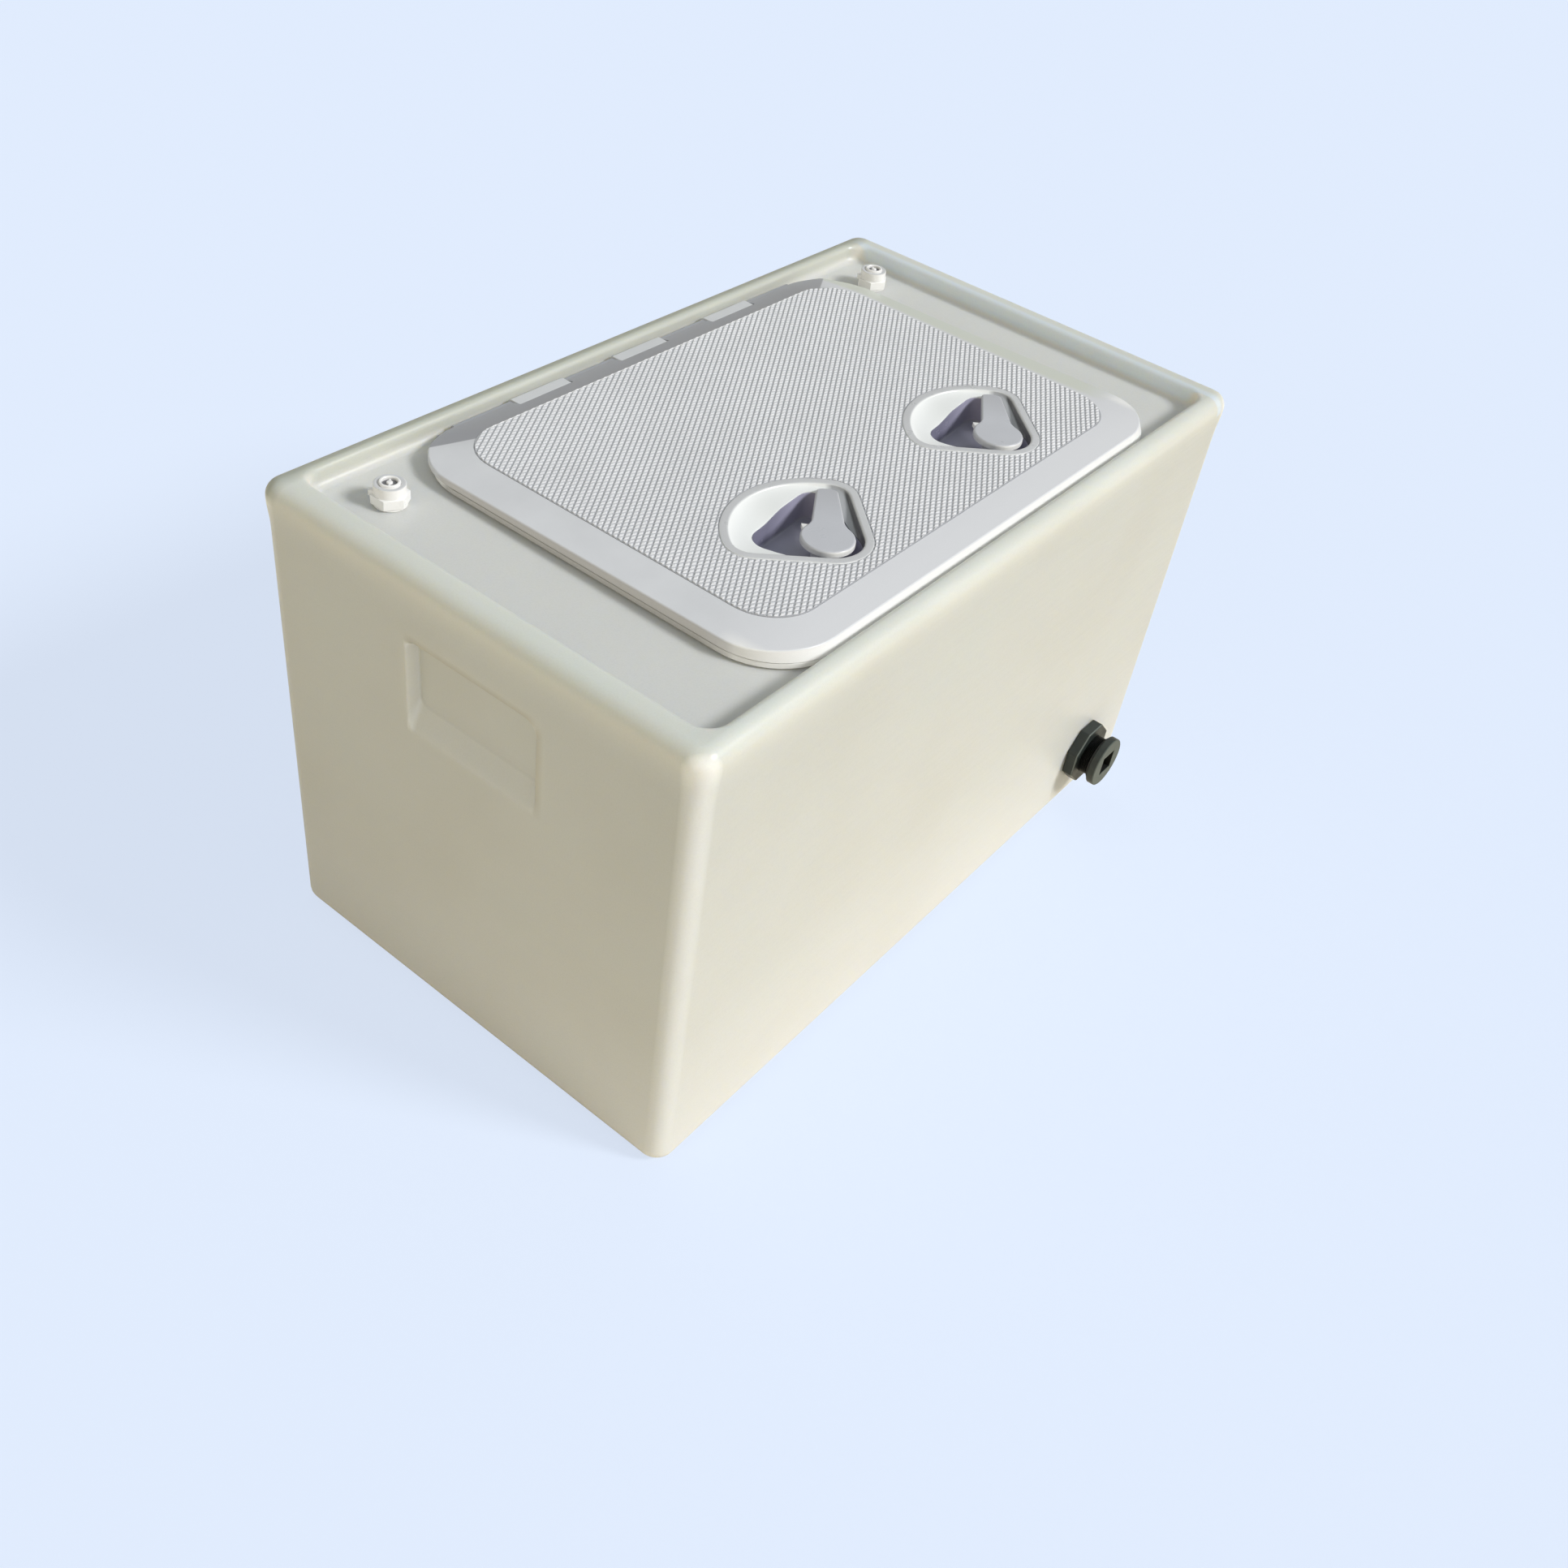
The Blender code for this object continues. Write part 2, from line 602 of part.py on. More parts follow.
def make_frame(mat):
    bevel = KNUCKLE_CHAMFER
    rings = [flange_ring(0.0, FLANGE_Z), flange_ring(0.0, FLANGE_TOP_Z - bevel), flange_ring(-bevel, FLANGE_TOP_Z)]
    rings += [neck_ring(0.0, FLANGE_TOP_Z), neck_ring(0.0, UPSTAND_Z), neck_ring(-NECK_WALL, UPSTAND_Z)]
    rings += [neck_ring(-NECK_WALL, NECK_FOOT_Z), neck_ring(0.0, NECK_FOOT_Z), neck_ring(0.0, FLANGE_Z)]
    frame = solid("hatch_frame", loft(rings, closed=True), mat)
    join(frame, [knuckle_block(x) for x in knuckle_centres()])
    cutters = screw_holes(FLANGE_Z - CUT_OVERRUN, FLANGE_TOP_Z + CUT_OVERRUN)
    bore = PIN_RADIUS + RUNNING_GAP
    cutters += [hinge_rod(x, bore, KNUCKLE_LENGTH + 2 * CUT_OVERRUN) for x in knuckle_centres()]
    cut(frame, cutters)


def make_screws(mat):
    low = FLANGE_TOP_Z + SEAT_GAP
    profile = [(SCREW_SHANK_RADIUS * 0.6, low - SCREW_LENGTH), (SCREW_SHANK_RADIUS, low - SCREW_LENGTH * 0.8)]
    profile += [(SCREW_SHANK_RADIUS, low), (SCREW_HEAD_RADIUS, low)]
    profile += [(SCREW_HEAD_RADIUS, low + SCREW_HEAD_HEIGHT / 2), (SCREW_HEAD_RADIUS * 0.75, low + SCREW_HEAD_HEIGHT)]
    for number, (x, y) in enumerate(screw_places(), 1):
        solid(f"frame_screw_{number:02d}", moved(turned(profile, SMALL_STEPS), (x, y, 0)), mat, (x, y, low))


def make_hinge_pins(mat):
    length = KNUCKLE_LENGTH + 2 * PIN_OVERLAP
    for number, x in enumerate(knuckle_centres(), 1):
        solid(f"hinge_pin_{number}", hinge_rod(x, PIN_RADIUS, length), mat, (x, HINGE_Y, HINGE_Z))


def box(x0, x1, y0, y1, z0, z1):
    return prism([(x0, y0), (x1, y0), (x1, y1), (x0, y1)], z0, z1)


def seal_outer():
    """How far the seal's outer edge stands out from the neck."""
    return SEAL_WIDTH - NECK_WALL - SEAL_INSET


def make_lid(mat):
    rings = [pad_ring(-PAD_EDGE_ROUND, PAD_TOP_Z), pad_ring(0.0, PAD_TOP_Z - PAD_EDGE_ROUND)]
    rings += [pad_ring(0.0, BORDER_TOP_Z - GROOVE_DEPTH), pad_ring(GROOVE_WIDTH, BORDER_TOP_Z - GROOVE_DEPTH)]
    rings += [pad_ring(GROOVE_WIDTH, BORDER_TOP_Z), lid_ring(-2 * LID_EDGE_ROUND, BORDER_EDGE_Z)]
    rings += [lid_ring(-LID_EDGE_ROUND / 2, BORDER_EDGE_Z - LID_EDGE_ROUND / 3)]
    rings += [lid_ring(0.0, BORDER_EDGE_Z - LID_EDGE_ROUND), lid_ring(0.0, LID_FOOT_Z)]
    rings += [lid_ring(-LID_WALL, LID_FOOT_Z), lid_ring(-LID_WALL - LID_EDGE_ROUND, BORDER_EDGE_Z - LID_WALL)]
    rib_inner = seal_outer() + SEAT_GAP
    rib_foot = LID_UNDER_Z - SEAL_RIB_DROP
    rings += [neck_ring(rib_inner + 2 * SEAL_RIB, LID_UNDER_Z), neck_ring(rib_inner + SEAL_RIB, LID_UNDER_Z)]
    rings += [neck_ring(rib_inner + SEAL_RIB, rib_foot), neck_ring(rib_inner, rib_foot)]
    rings += [neck_ring(rib_inner, LID_UNDER_Z)]
    lid = solid("hatch_lid", loft(rings), mat, (HATCH_CENTRE_X, HINGE_Y, HINGE_Z))
    straight = HATCH_LENGTH - 2 * HATCH_CORNER
    join(lid, [hinge_rod(HATCH_CENTRE_X, LID_BEAD_RADIUS, straight)])
    cutters = []
    half = KNUCKLE_LENGTH / 2 + KNUCKLE_SIDE_GAP
    notch_front = HINGE_Y - KNUCKLE_REACH - NOTCH_GAP
    for x in knuckle_centres():
        cutters.append(box(x - half, x + half, notch_front, HATCH_REAR_Y + CUT_OVERRUN,
                           FLANGE_Z - CUT_OVERRUN, PAD_TOP_Z + CUT_OVERRUN))
    for x in LATCH_CENTRES:
        place = (x, LATCH_Y, 0)
        seat = LATCH_RING + SEAT_GAP
        body = BOWL_WALL + SEAT_GAP
        cutters.append(moved(loft([mouth_ring(seat, RING_SEAT_Z), mouth_ring(seat, PAD_TOP_Z + CUT_OVERRUN)]), place))
        cutters.append(moved(loft([mouth_ring(body, LID_UNDER_Z - CUT_OVERRUN),
                                   mouth_ring(body, RING_SEAT_Z + SEAT_GAP)]), place))
    cut(lid, cutters[:KNUCKLE_COUNT])
    for cutter in cutters[KNUCKLE_COUNT:]:
        cut(lid, [cutter])
    bore = PIN_RADIUS + RUNNING_GAP
    reach = KNUCKLE_LENGTH + 2 * PIN_OVERLAP + 2 * SEAT_GAP
    cut(lid, [hinge_rod(x, bore, reach) for x in knuckle_centres()])


def make_seal(mat):
    outer = seal_outer()
    inner = outer - SEAL_WIDTH
    rings = [neck_ring(outer, SEAL_Z), neck_ring(outer, SEAL_TOP_Z), neck_ring(inner, SEAL_TOP_Z)]
    rings.append(neck_ring(inner, SEAL_Z))
    solid("lid_seal", loft(rings, closed=True), mat, (HATCH_CENTRE_X, HINGE_Y, HINGE_Z))


def hull_radius(discs, angle, hub):
    """Distance from the hub to the outline round a set of discs, along one direction."""
    direction = Vector((math.cos(angle), math.sin(angle)))
    side = Vector((-direction.y, direction.x))
    best = 0.0
    for x, y, radius in discs:
        centre = Vector((x, y)) - hub
        across = centre.dot(side)
        if abs(across) < radius:
            best = max(best, centre.dot(direction) + math.sqrt(radius ** 2 - across ** 2))
    for x1, y1, r1 in discs:
        for x2, y2, r2 in discs:
            best = max(best, tangent_reach(Vector((x1, y1)) - hub, r1, Vector((x2, y2)) - hub, r2, direction))
    return best


def tangent_reach(first, r1, second, r2, direction):
    """Where a ray from the hub meets the outer tangent from the first disc to the second."""
    line = second - first
    length = line.length
    if length <= abs(r1 - r2):
        return 0.0
    lean = math.asin((r1 - r2) / length)
    heading = math.atan2(line.y, line.x)
    normal_angle = heading - math.pi / 2 + lean
    normal = Vector((math.cos(normal_angle), math.sin(normal_angle)))
    start = first + normal * r1
    end = second + normal * r2
    facing = normal.dot(direction)
    if facing <= 0:
        return 0.0
    reach = normal.dot(start) / facing
    along = (direction * reach - start).dot(end - start)
    if 0 <= along <= (end - start).length_squared:
        return reach
    return 0.0


def outline_ring(discs, sweep, z):
    """A ring round a set of discs, bulged out to a sweep circle between its corner directions."""
    hub = Vector((0.0, CAVITY_CORNER_Y / 2))
    points = []
    for i in range(RAY_STEPS):
        angle = 2 * math.pi * i / RAY_STEPS
        direction = Vector((math.cos(angle), math.sin(angle)))
        reach = hull_radius(discs, angle, hub)
        if sweep:
            towards = hub.dot(direction)
            far = -towards + math.sqrt(towards ** 2 - hub.length_squared + sweep ** 2)
            tip = hub + direction * far
            if LATCH_CORNER_ANGLE <= math.atan2(tip.y, tip.x) <= math.pi - LATCH_CORNER_ANGLE:
                reach = max(reach, far)
        place = hub + direction * reach
        points.append(Vector((place.x, place.y, z)))
    return points


def mouth_ring(outward, z):
    """The latch's mouth, moved outwards: round the hub, straight sides, an arc at the handle's tip."""
    corner = LATCH_SWEEP_RADIUS - LATCH_CORNER_RADIUS
    x = corner * math.cos(LATCH_CORNER_ANGLE)
    y = corner * math.sin(LATCH_CORNER_ANGLE)
    discs = [(0.0, 0.0, LATCH_HUB_RADIUS + outward)]
    discs += [(x, y, LATCH_CORNER_RADIUS + outward), (-x, y, LATCH_CORNER_RADIUS + outward)]
    return outline_ring(discs, LATCH_SWEEP_RADIUS + outward, z)


def cavity_ring(outward, z):
    """The deep part of the latch's bowl, under the handle."""
    side = CAVITY_CORNER_RADIUS + outward
    discs = [(0.0, 0.0, LATCH_HUB_RADIUS - CAVITY_SIDE_INSET + outward)]
    discs += [(CAVITY_HALF_WIDTH, CAVITY_CORNER_Y, side), (-CAVITY_HALF_WIDTH, CAVITY_CORNER_Y, side)]
    return outline_ring(discs, 0.0, z)


def blend_ring(first, second, share, z):
    return [Vector((*a.lerp(b, share).xy, z)) for a, b in zip(first, second)]


def bowl_solid():
    mouth = mouth_ring(0.0, 0.0)
    cavity = cavity_ring(0.0, 0.0)
    ring_foot = PAD_TOP_Z - LATCH_RING_THICKNESS
    scoop_z = PAD_TOP_Z - SCOOP_DROP
    edge_z = PAD_TOP_Z - SCOOP_FLOOR_DROP
    rings = [cavity_ring(-BOWL_WALL, BOWL_FLOOR_Z), cavity_ring(-BOWL_WALL / 3, BOWL_FLOOR_Z + BOWL_WALL)]
    rings += [cavity_ring(0.0, edge_z), blend_ring(mouth, cavity, SCOOP_SHARE, scoop_z)]
    rings += [mouth_ring(0.0, PAD_TOP_Z - SCOOP_LIP), mouth_ring(SCOOP_LIP, PAD_TOP_Z)]
    rings += [mouth_ring(LATCH_RING - SCOOP_LIP / 2, PAD_TOP_Z), mouth_ring(LATCH_RING, PAD_TOP_Z - SCOOP_LIP / 2)]
    rings += [mouth_ring(LATCH_RING, ring_foot), mouth_ring(BOWL_WALL, ring_foot)]
    rings += [mouth_ring(BOWL_WALL, scoop_z + SCOOP_LIP / 2), cavity_ring(BOWL_WALL, edge_z - BOWL_WALL)]
    rings += [cavity_ring(BOWL_WALL * 2 / 3, BOWL_FOOT_Z)]
    return loft(rings)


def handle_outline():
    """The handle from above, its tail along +X."""
    upper = []
    steps = CIRCLE_STEPS // 2
    for step in range(steps + 1):
        angle = HANDLE_SHOULDER + (math.pi - HANDLE_SHOULDER) * step / steps
        upper.append((HANDLE_DISC_RADIUS * math.cos(angle), HANDLE_DISC_RADIUS * math.sin(angle)))
    tip = [(HANDLE_LENGTH, 0.0), (HANDLE_LENGTH - HANDLE_TIP_HALF / 5, HANDLE_TIP_HALF * 2 / 3)]
    tip.append((HANDLE_LENGTH - HANDLE_TIP_HALF / 2, HANDLE_TIP_HALF))
    start_x = HANDLE_DISC_RADIUS * math.cos(HANDLE_SHOULDER)
    start_y = HANDLE_DISC_RADIUS * math.sin(HANDLE_SHOULDER)
    tip.append((HANDLE_ROOT_X, HANDLE_ROOT_HALF))
    tip.append(((start_x + HANDLE_ROOT_X) / 2, (start_y * 2 + HANDLE_ROOT_HALF * 3) / 5))
    half = tip + upper
    mirrored = [(x, -y) for x, y in reversed(half[1:-1])]
    return half + mirrored


def handle_foot(x):
    """The underside of the handle plate, which thins towards the tip."""
    share = min(max((x - HANDLE_ROOT_X) / (HANDLE_LENGTH - HANDLE_ROOT_X), 0.0), 1.0)
    thickness = HANDLE_THICKNESS + (HANDLE_TIP_THICKNESS - HANDLE_THICKNESS) * share
    return HANDLE_TOP_Z - thickness


def make_handle(name, x, mat):
    outline = handle_outline()
    inner = [Vector(point) * (1 - HANDLE_EDGE / HANDLE_DISC_RADIUS) for point in outline]
    rings = [[Vector((px, py, handle_foot(px))) for px, py in outline]]
    rings.append([Vector((px, py, HANDLE_TOP_Z - HANDLE_EDGE)) for px, py in outline])
    rings.append([Vector((point.x, point.y, HANDLE_TOP_Z)) for point in inner])
    place = (x, LATCH_Y, 0)
    handle = solid(name, moved(loft(rings), place, HANDLE_REST_ANGLE), mat, (x, LATCH_Y, HANDLE_TOP_Z))
    top = HANDLE_TOP_Z - HANDLE_THICKNESS / 2
    join(handle, [moved(turned([(HANDLE_HUB_RADIUS, HUB_FOOT_Z), (HANDLE_HUB_RADIUS, top)]), place)])
    socket = SPINDLE_STUB_RADIUS + SEAT_GAP
    high = HUB_FOOT_Z + SPINDLE_STUB_LENGTH + SEAT_GAP
    cut(handle, [moved(turned([(socket, HUB_FOOT_Z - CUT_OVERRUN), (socket, high)], SMALL_STEPS), place)])


def make_spindle(name, x, mat):
    shoulder = HUB_FOOT_Z - SEAT_GAP
    low = CAM_NUT_TOP_Z - CAM_NUT_HEIGHT - SPINDLE_TAIL
    profile = [(SPINDLE_STUB_RADIUS, low), (SPINDLE_STUB_RADIUS, CAM_TOP_Z + SEAT_GAP)]
    profile += [(SPINDLE_RADIUS, CAM_TOP_Z + SEAT_GAP), (SPINDLE_RADIUS, shoulder)]
    profile += [(SPINDLE_STUB_RADIUS, shoulder), (SPINDLE_STUB_RADIUS, HUB_FOOT_Z + SPINDLE_STUB_LENGTH)]
    solid(name, moved(turned(profile, SMALL_STEPS), (x, LATCH_Y, 0)), mat, (x, LATCH_Y, HUB_FOOT_Z))


def make_cam(name, x, mat):
    """A flat bar that swings under the neck when the handle is turned."""
    half = CAM_WIDTH / 2
    root = math.asin(half / CAM_HUB_RADIUS)
    outline = []
    for step in range(SMALL_STEPS + 1):
        angle = root + (2 * math.pi - 2 * root) * step / SMALL_STEPS
        outline.append((CAM_HUB_RADIUS * math.cos(angle), CAM_HUB_RADIUS * math.sin(angle)))
    for step in range(2 * ROUND_STEPS + 1):
        angle = math.pi * (step / (2 * ROUND_STEPS) - 0.5)
        outline.append((CAM_LENGTH - half + half * math.cos(angle), half * math.sin(angle)))
    place = (x, LATCH_Y, 0)
    bar = moved(prism(outline, CAM_FOOT_Z, CAM_TOP_Z), place, CAM_REST_ANGLE)
    cam = solid(name, bar, mat, (x, LATCH_Y, CAM_TOP_Z))
    bore = SPINDLE_STUB_RADIUS + SEAT_GAP
    hole = turned([(bore, CAM_FOOT_Z - CUT_OVERRUN), (bore, CAM_TOP_Z + CUT_OVERRUN)], SMALL_STEPS)
    cut(cam, [moved(hole, place)])


def make_nut(name, place, flats, low, high, bore, mat, turn=0.0):
    """A plain hexagon nut."""
    nut = solid(name, moved(prism(polygon(flats, turn=turn), low, high), place), mat, (place[0], place[1], low))
    hole = turned([(bore, low - CUT_OVERRUN), (bore, high + CUT_OVERRUN)], SMALL_STEPS)
    cut(nut, [moved(hole, place)])


def ring_solid(inner, outer, low, high, steps=CIRCLE_STEPS):
    return turned([(outer, low), (outer, high), (inner, high), (inner, low)], steps, closed=True)


def make_oring(name, place, radius, thickness, middle, mat):
    profile = []
    for step in range(8):
        angle = 2 * math.pi * step / 8
        profile.append((radius + thickness / 2 * math.cos(angle), middle + thickness / 2 * math.sin(angle)))
    solid(name, moved(turned(profile, SMALL_STEPS, closed=True), place), mat, (place[0], place[1], middle))


def make_latch(side, x, plastic, rubber, metal):
    place = (x, LATCH_Y, 0)
    bowl = solid(f"latch_bowl_{side}", moved(bowl_solid(), place), plastic, (x, LATCH_Y, PAD_TOP_Z))
    bore = SPINDLE_RADIUS + RUNNING_GAP
    hole = turned([(bore, BOWL_FOOT_Z - CUT_OVERRUN), (bore, BOWL_FLOOR_Z + CUT_OVERRUN)], CIRCLE_STEPS)
    cut(bowl, [moved(hole, place)])
    make_handle(f"latch_handle_{side}", x, plastic)
    make_spindle(f"latch_spindle_{side}", x, metal)
    make_oring(f"latch_oring_{side}", place, ORING_RADIUS, ORING_THICKNESS,
               BOWL_FLOOR_Z + SEAT_GAP + ORING_THICKNESS / 2, rubber)
    make_cam(f"latch_cam_{side}", x, plastic)
    nut_bore = SPINDLE_STUB_RADIUS + SEAT_GAP
    make_nut(f"latch_cam_nut_{side}", place, 2 * CAM_NUT_RADIUS * math.cos(math.pi / 6),
             CAM_NUT_TOP_Z - CAM_NUT_HEIGHT, CAM_NUT_TOP_Z, nut_bore, metal, CAM_REST_ANGLE)


def make_port(side, place, white, rubber):
    x, y = place
    at = (x, y, 0)
    hole = PORT_STEM_RADIUS + SEAT_GAP
    washer = ring_solid(hole, PORT_HEX_FLATS / 2 - SEAT_GAP, DECK_Z + SEAT_GAP,
                        DECK_Z + SEAT_GAP + PORT_WASHER_THICKNESS)
    solid(f"port_washer_{side}", moved(washer, at), rubber, (x, y, DECK_Z))
    base = moved(prism(polygon(PORT_HEX_FLATS), PORT_HEX_Z, PORT_BARREL_Z), at)
    body = solid(f"port_body_{side}", base, white, (x, y, PORT_HEX_Z))
    barrel = [(PORT_STEM_RADIUS, PORT_HEX_Z - PORT_STEM_LENGTH), (PORT_STEM_RADIUS, PORT_HEX_Z + PORT_HEX_HEIGHT / 2)]
    barrel += [(PORT_BARREL_RADIUS, PORT_HEX_Z + PORT_HEX_HEIGHT / 2)]
    barrel += [(PORT_BARREL_RADIUS, PORT_TOP_Z - PORT_BARREL_ROUND)]
    barrel += [(PORT_BARREL_RADIUS - PORT_BARREL_ROUND, PORT_TOP_Z)]
    lug_low = PORT_BARREL_Z - PORT_LUG_HEIGHT / 2
    lug = moved(box(PORT_COLLET_BORE + PORT_BARREL_ROUND, PORT_LUG_REACH, -PORT_LUG_WIDTH / 2, PORT_LUG_WIDTH / 2,
                    lug_low, lug_low + PORT_LUG_HEIGHT), at, PORT_LUG_ANGLE)
    join(body, [moved(turned(barrel), at)])
    join(body, [lug])
    bore = [(PORT_AIRWAY, PORT_HEX_Z - PORT_STEM_LENGTH - CUT_OVERRUN), (PORT_AIRWAY, PORT_TOP_Z - PORT_BORE_DEPTH)]
    bore += [(PORT_BORE, PORT_TOP_Z - PORT_BORE_DEPTH), (PORT_BORE, PORT_TOP_Z - PORT_COLLET_DEPTH)]
    bore += [(PORT_COLLET_BORE, PORT_TOP_Z - PORT_COLLET_DEPTH), (PORT_COLLET_BORE, PORT_TOP_Z + CUT_OVERRUN)]
    cut(body, [moved(turned(bore), at)])
    collet_foot = PORT_TOP_Z - PORT_COLLET_DEPTH + COLLET_TRAVEL + SEAT_GAP
    collet = ring_solid(COLLET_INNER, PORT_COLLET_BORE - RUNNING_GAP, collet_foot, PORT_TOP_Z + COLLET_PROUD)
    solid(f"port_collet_{side}", moved(collet, at), white, (x, y, PORT_TOP_Z))
    seat = PORT_TOP_Z - PORT_BORE_DEPTH + SEAT_GAP
    valve = [(VALVE_HEAD_RADIUS, seat), (VALVE_HEAD_RADIUS, seat + VALVE_HEAD_HEIGHT)]
    valve += [(VALVE_STEM_RADIUS, seat + VALVE_HEAD_HEIGHT), (VALVE_STEM_RADIUS, PORT_TOP_Z - VALVE_STEM_DROP)]
    solid(f"port_valve_{side}", moved(turned(valve, SMALL_STEPS), at), white, (x, y, seat))
    nut_top = DECK_UNDER_Z - SEAT_GAP
    make_nut(f"port_locknut_{side}", at, PORT_NUT_FLATS, nut_top - PORT_NUT_HEIGHT, nut_top, hole, white)


def drain_piece(name, bm, mat, level):
    """Stand a piece made on Z on the drain's axis: its height becomes the distance out of the wall."""
    origin = (DRAIN_X, drain_wall_y() - level, DRAIN_Z)
    return solid(name, moved(facing_front(bm), (DRAIN_X, drain_wall_y(), DRAIN_Z)), mat, origin)


def make_drain(black, rubber):
    washer_out = -TANK_WALL - SEAT_GAP
    washer_in = washer_out - DRAIN_WASHER_THICKNESS
    flange_out = washer_in - SEAT_GAP
    flange_in = flange_out - DRAIN_FLANGE_THICKNESS
    drain_piece("drain_washer", ring_solid(DRAIN_TUBE_RADIUS + SEAT_GAP, DRAIN_FLANGE_RADIUS - SEAT_GAP,
                                           washer_in, washer_out), rubber, washer_out)
    body = [(DRAIN_FLANGE_RADIUS, flange_in), (DRAIN_FLANGE_RADIUS, flange_out), (DRAIN_TUBE_RADIUS, flange_out)]
    body += [(DRAIN_TUBE_RADIUS, DRAIN_PROUD), (DRAIN_BORE_RADIUS, DRAIN_PROUD), (DRAIN_BORE_RADIUS, flange_in)]
    drain_piece("drain_body", turned(body, closed=True), black, 0.0)
    nut_low = SEAT_GAP
    nut_high = nut_low + DRAIN_NUT_HEIGHT
    half_side = math.pi / DRAIN_NUT_SIDES
    rings = []
    for inset, height in ((0.0, nut_low), (0.0, nut_high - DRAIN_NUT_BEVEL), (DRAIN_NUT_BEVEL, nut_high)):
        outline = polygon(DRAIN_NUT_FLATS - 2 * inset, DRAIN_NUT_SIDES, half_side)
        rings.append([Vector((x, y, height)) for x, y in outline])
    nut_ob = drain_piece("drain_nut", loft(rings), black, nut_low)
    bore = DRAIN_TUBE_RADIUS + SEAT_GAP
    hole = facing_front(turned([(bore, nut_low - CUT_OVERRUN), (bore, nut_high + CUT_OVERRUN)]))
    cut(nut_ob, [moved(hole, (DRAIN_X, drain_wall_y(), DRAIN_Z))])
    seal_low = DRAIN_PROUD + SEAT_GAP
    seal_high = seal_low + DRAIN_SEAL_THICKNESS
    drain_piece("drain_seal", ring_solid(DRAIN_BORE_RADIUS + SEAT_GAP, DRAIN_SEAL_RADIUS, seal_low, seal_high),
                rubber, seal_low)
    head_low = seal_high + SEAT_GAP
    head_high = head_low + PLUG_HEAD_HEIGHT
    shank = DRAIN_BORE_RADIUS - RUNNING_GAP
    plug = turned([(shank, head_low - PLUG_SHANK_LENGTH), (shank, head_low), (PLUG_HEAD_RADIUS, head_low),
                   (PLUG_HEAD_RADIUS, head_high - PLUG_HEAD_ROUND), (PLUG_HEAD_RADIUS - PLUG_HEAD_ROUND, head_high)])
    plug_ob = drain_piece("drain_plug", plug, black, head_low)
    half = PLUG_SOCKET / 2
    socket = facing_front(box(-half, half, -half, half, head_high - PLUG_SOCKET_DEPTH, head_high + CUT_OVERRUN))
    cut(plug_ob, [moved(socket, (DRAIN_X, drain_wall_y(), DRAIN_Z))])


def main():
    clear_scene()
    tank_plastic = material("tank_plastic", (0.72, 0.71, 0.60), 0.42)
    hatch_plastic = material("hatch_plastic", (0.66, 0.66, 0.70), 0.35)
    frame_plastic = material("frame_plastic", (0.55, 0.55, 0.58), 0.45)
    white_plastic = material("white_plastic", (0.86, 0.88, 0.86), 0.35)
    black_plastic = material("black_plastic", (0.02, 0.023, 0.022), 0.5)
    seal_rubber = material("seal_rubber", (0.03, 0.03, 0.03), 0.8)
    steel = material("steel", (0.6, 0.6, 0.6), 0.3)
    make_tank(tank_plastic)
    make_gasket(seal_rubber)
    make_frame(frame_plastic)
    make_screws(steel)
    make_hinge_pins(steel)
    make_lid(hatch_plastic)
    make_seal(seal_rubber)
    for side, x in zip(("left", "right"), LATCH_CENTRES):
        make_latch(side, x, hatch_plastic, seal_rubber, steel)
    for side, place in zip(("left", "right"), port_places()):
        make_port(side, place, white_plastic, seal_rubber)
    make_drain(black_plastic, seal_rubber)


main()
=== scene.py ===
import json
import math

import bmesh
import bpy
from mathutils import Matrix, Vector


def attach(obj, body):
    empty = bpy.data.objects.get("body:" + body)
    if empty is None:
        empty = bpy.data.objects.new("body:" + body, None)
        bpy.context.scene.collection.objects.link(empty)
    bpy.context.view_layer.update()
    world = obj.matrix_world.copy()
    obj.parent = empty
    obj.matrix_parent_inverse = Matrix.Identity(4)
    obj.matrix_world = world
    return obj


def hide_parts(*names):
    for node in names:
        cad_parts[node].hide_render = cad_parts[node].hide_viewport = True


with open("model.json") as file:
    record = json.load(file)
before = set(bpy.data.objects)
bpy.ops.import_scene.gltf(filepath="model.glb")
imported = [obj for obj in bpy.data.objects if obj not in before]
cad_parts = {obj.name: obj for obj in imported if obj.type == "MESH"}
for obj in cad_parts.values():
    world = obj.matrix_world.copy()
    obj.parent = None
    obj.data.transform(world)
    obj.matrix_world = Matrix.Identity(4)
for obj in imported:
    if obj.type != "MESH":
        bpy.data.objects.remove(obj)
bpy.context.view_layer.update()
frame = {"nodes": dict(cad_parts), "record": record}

# Lengths are in metres. Heights are above the tank's foot, unless a comment says otherwise.

# Tank
LENGTH, WIDTH, HEIGHT = 0.6, 0.35, 0.35
WALL = 0.005
TANK_CORNER, SHARPEST_CORNER = 0.014, 0.0008
BASE_ROUND, FLOOR_ROUND = 0.011, 0.006
DRAFT = 0.0004
WALL_TOP = 0.314
RIM_STEP, RIM_FOOT = 0.001, 0.332
RIM_SWELL = ((0.93, 0.3215), (0.75, 0.3258), (0.4, 0.33), (0.12, 0.334), (0.0, 0.3375))
RIM_OUTER_ROUND, RIM_INNER_ROUND = 0.0105, 0.004
RIM_END, RIM_SIDE, RIM_INNER_CORNER = 0.021, 0.015, 0.014
DECK, DECK_UNDER, DECK_COVE = 0.337, 0.332, 0.006
OPENING_GAP, OPENING_EDGE = 0.0025, 0.0005

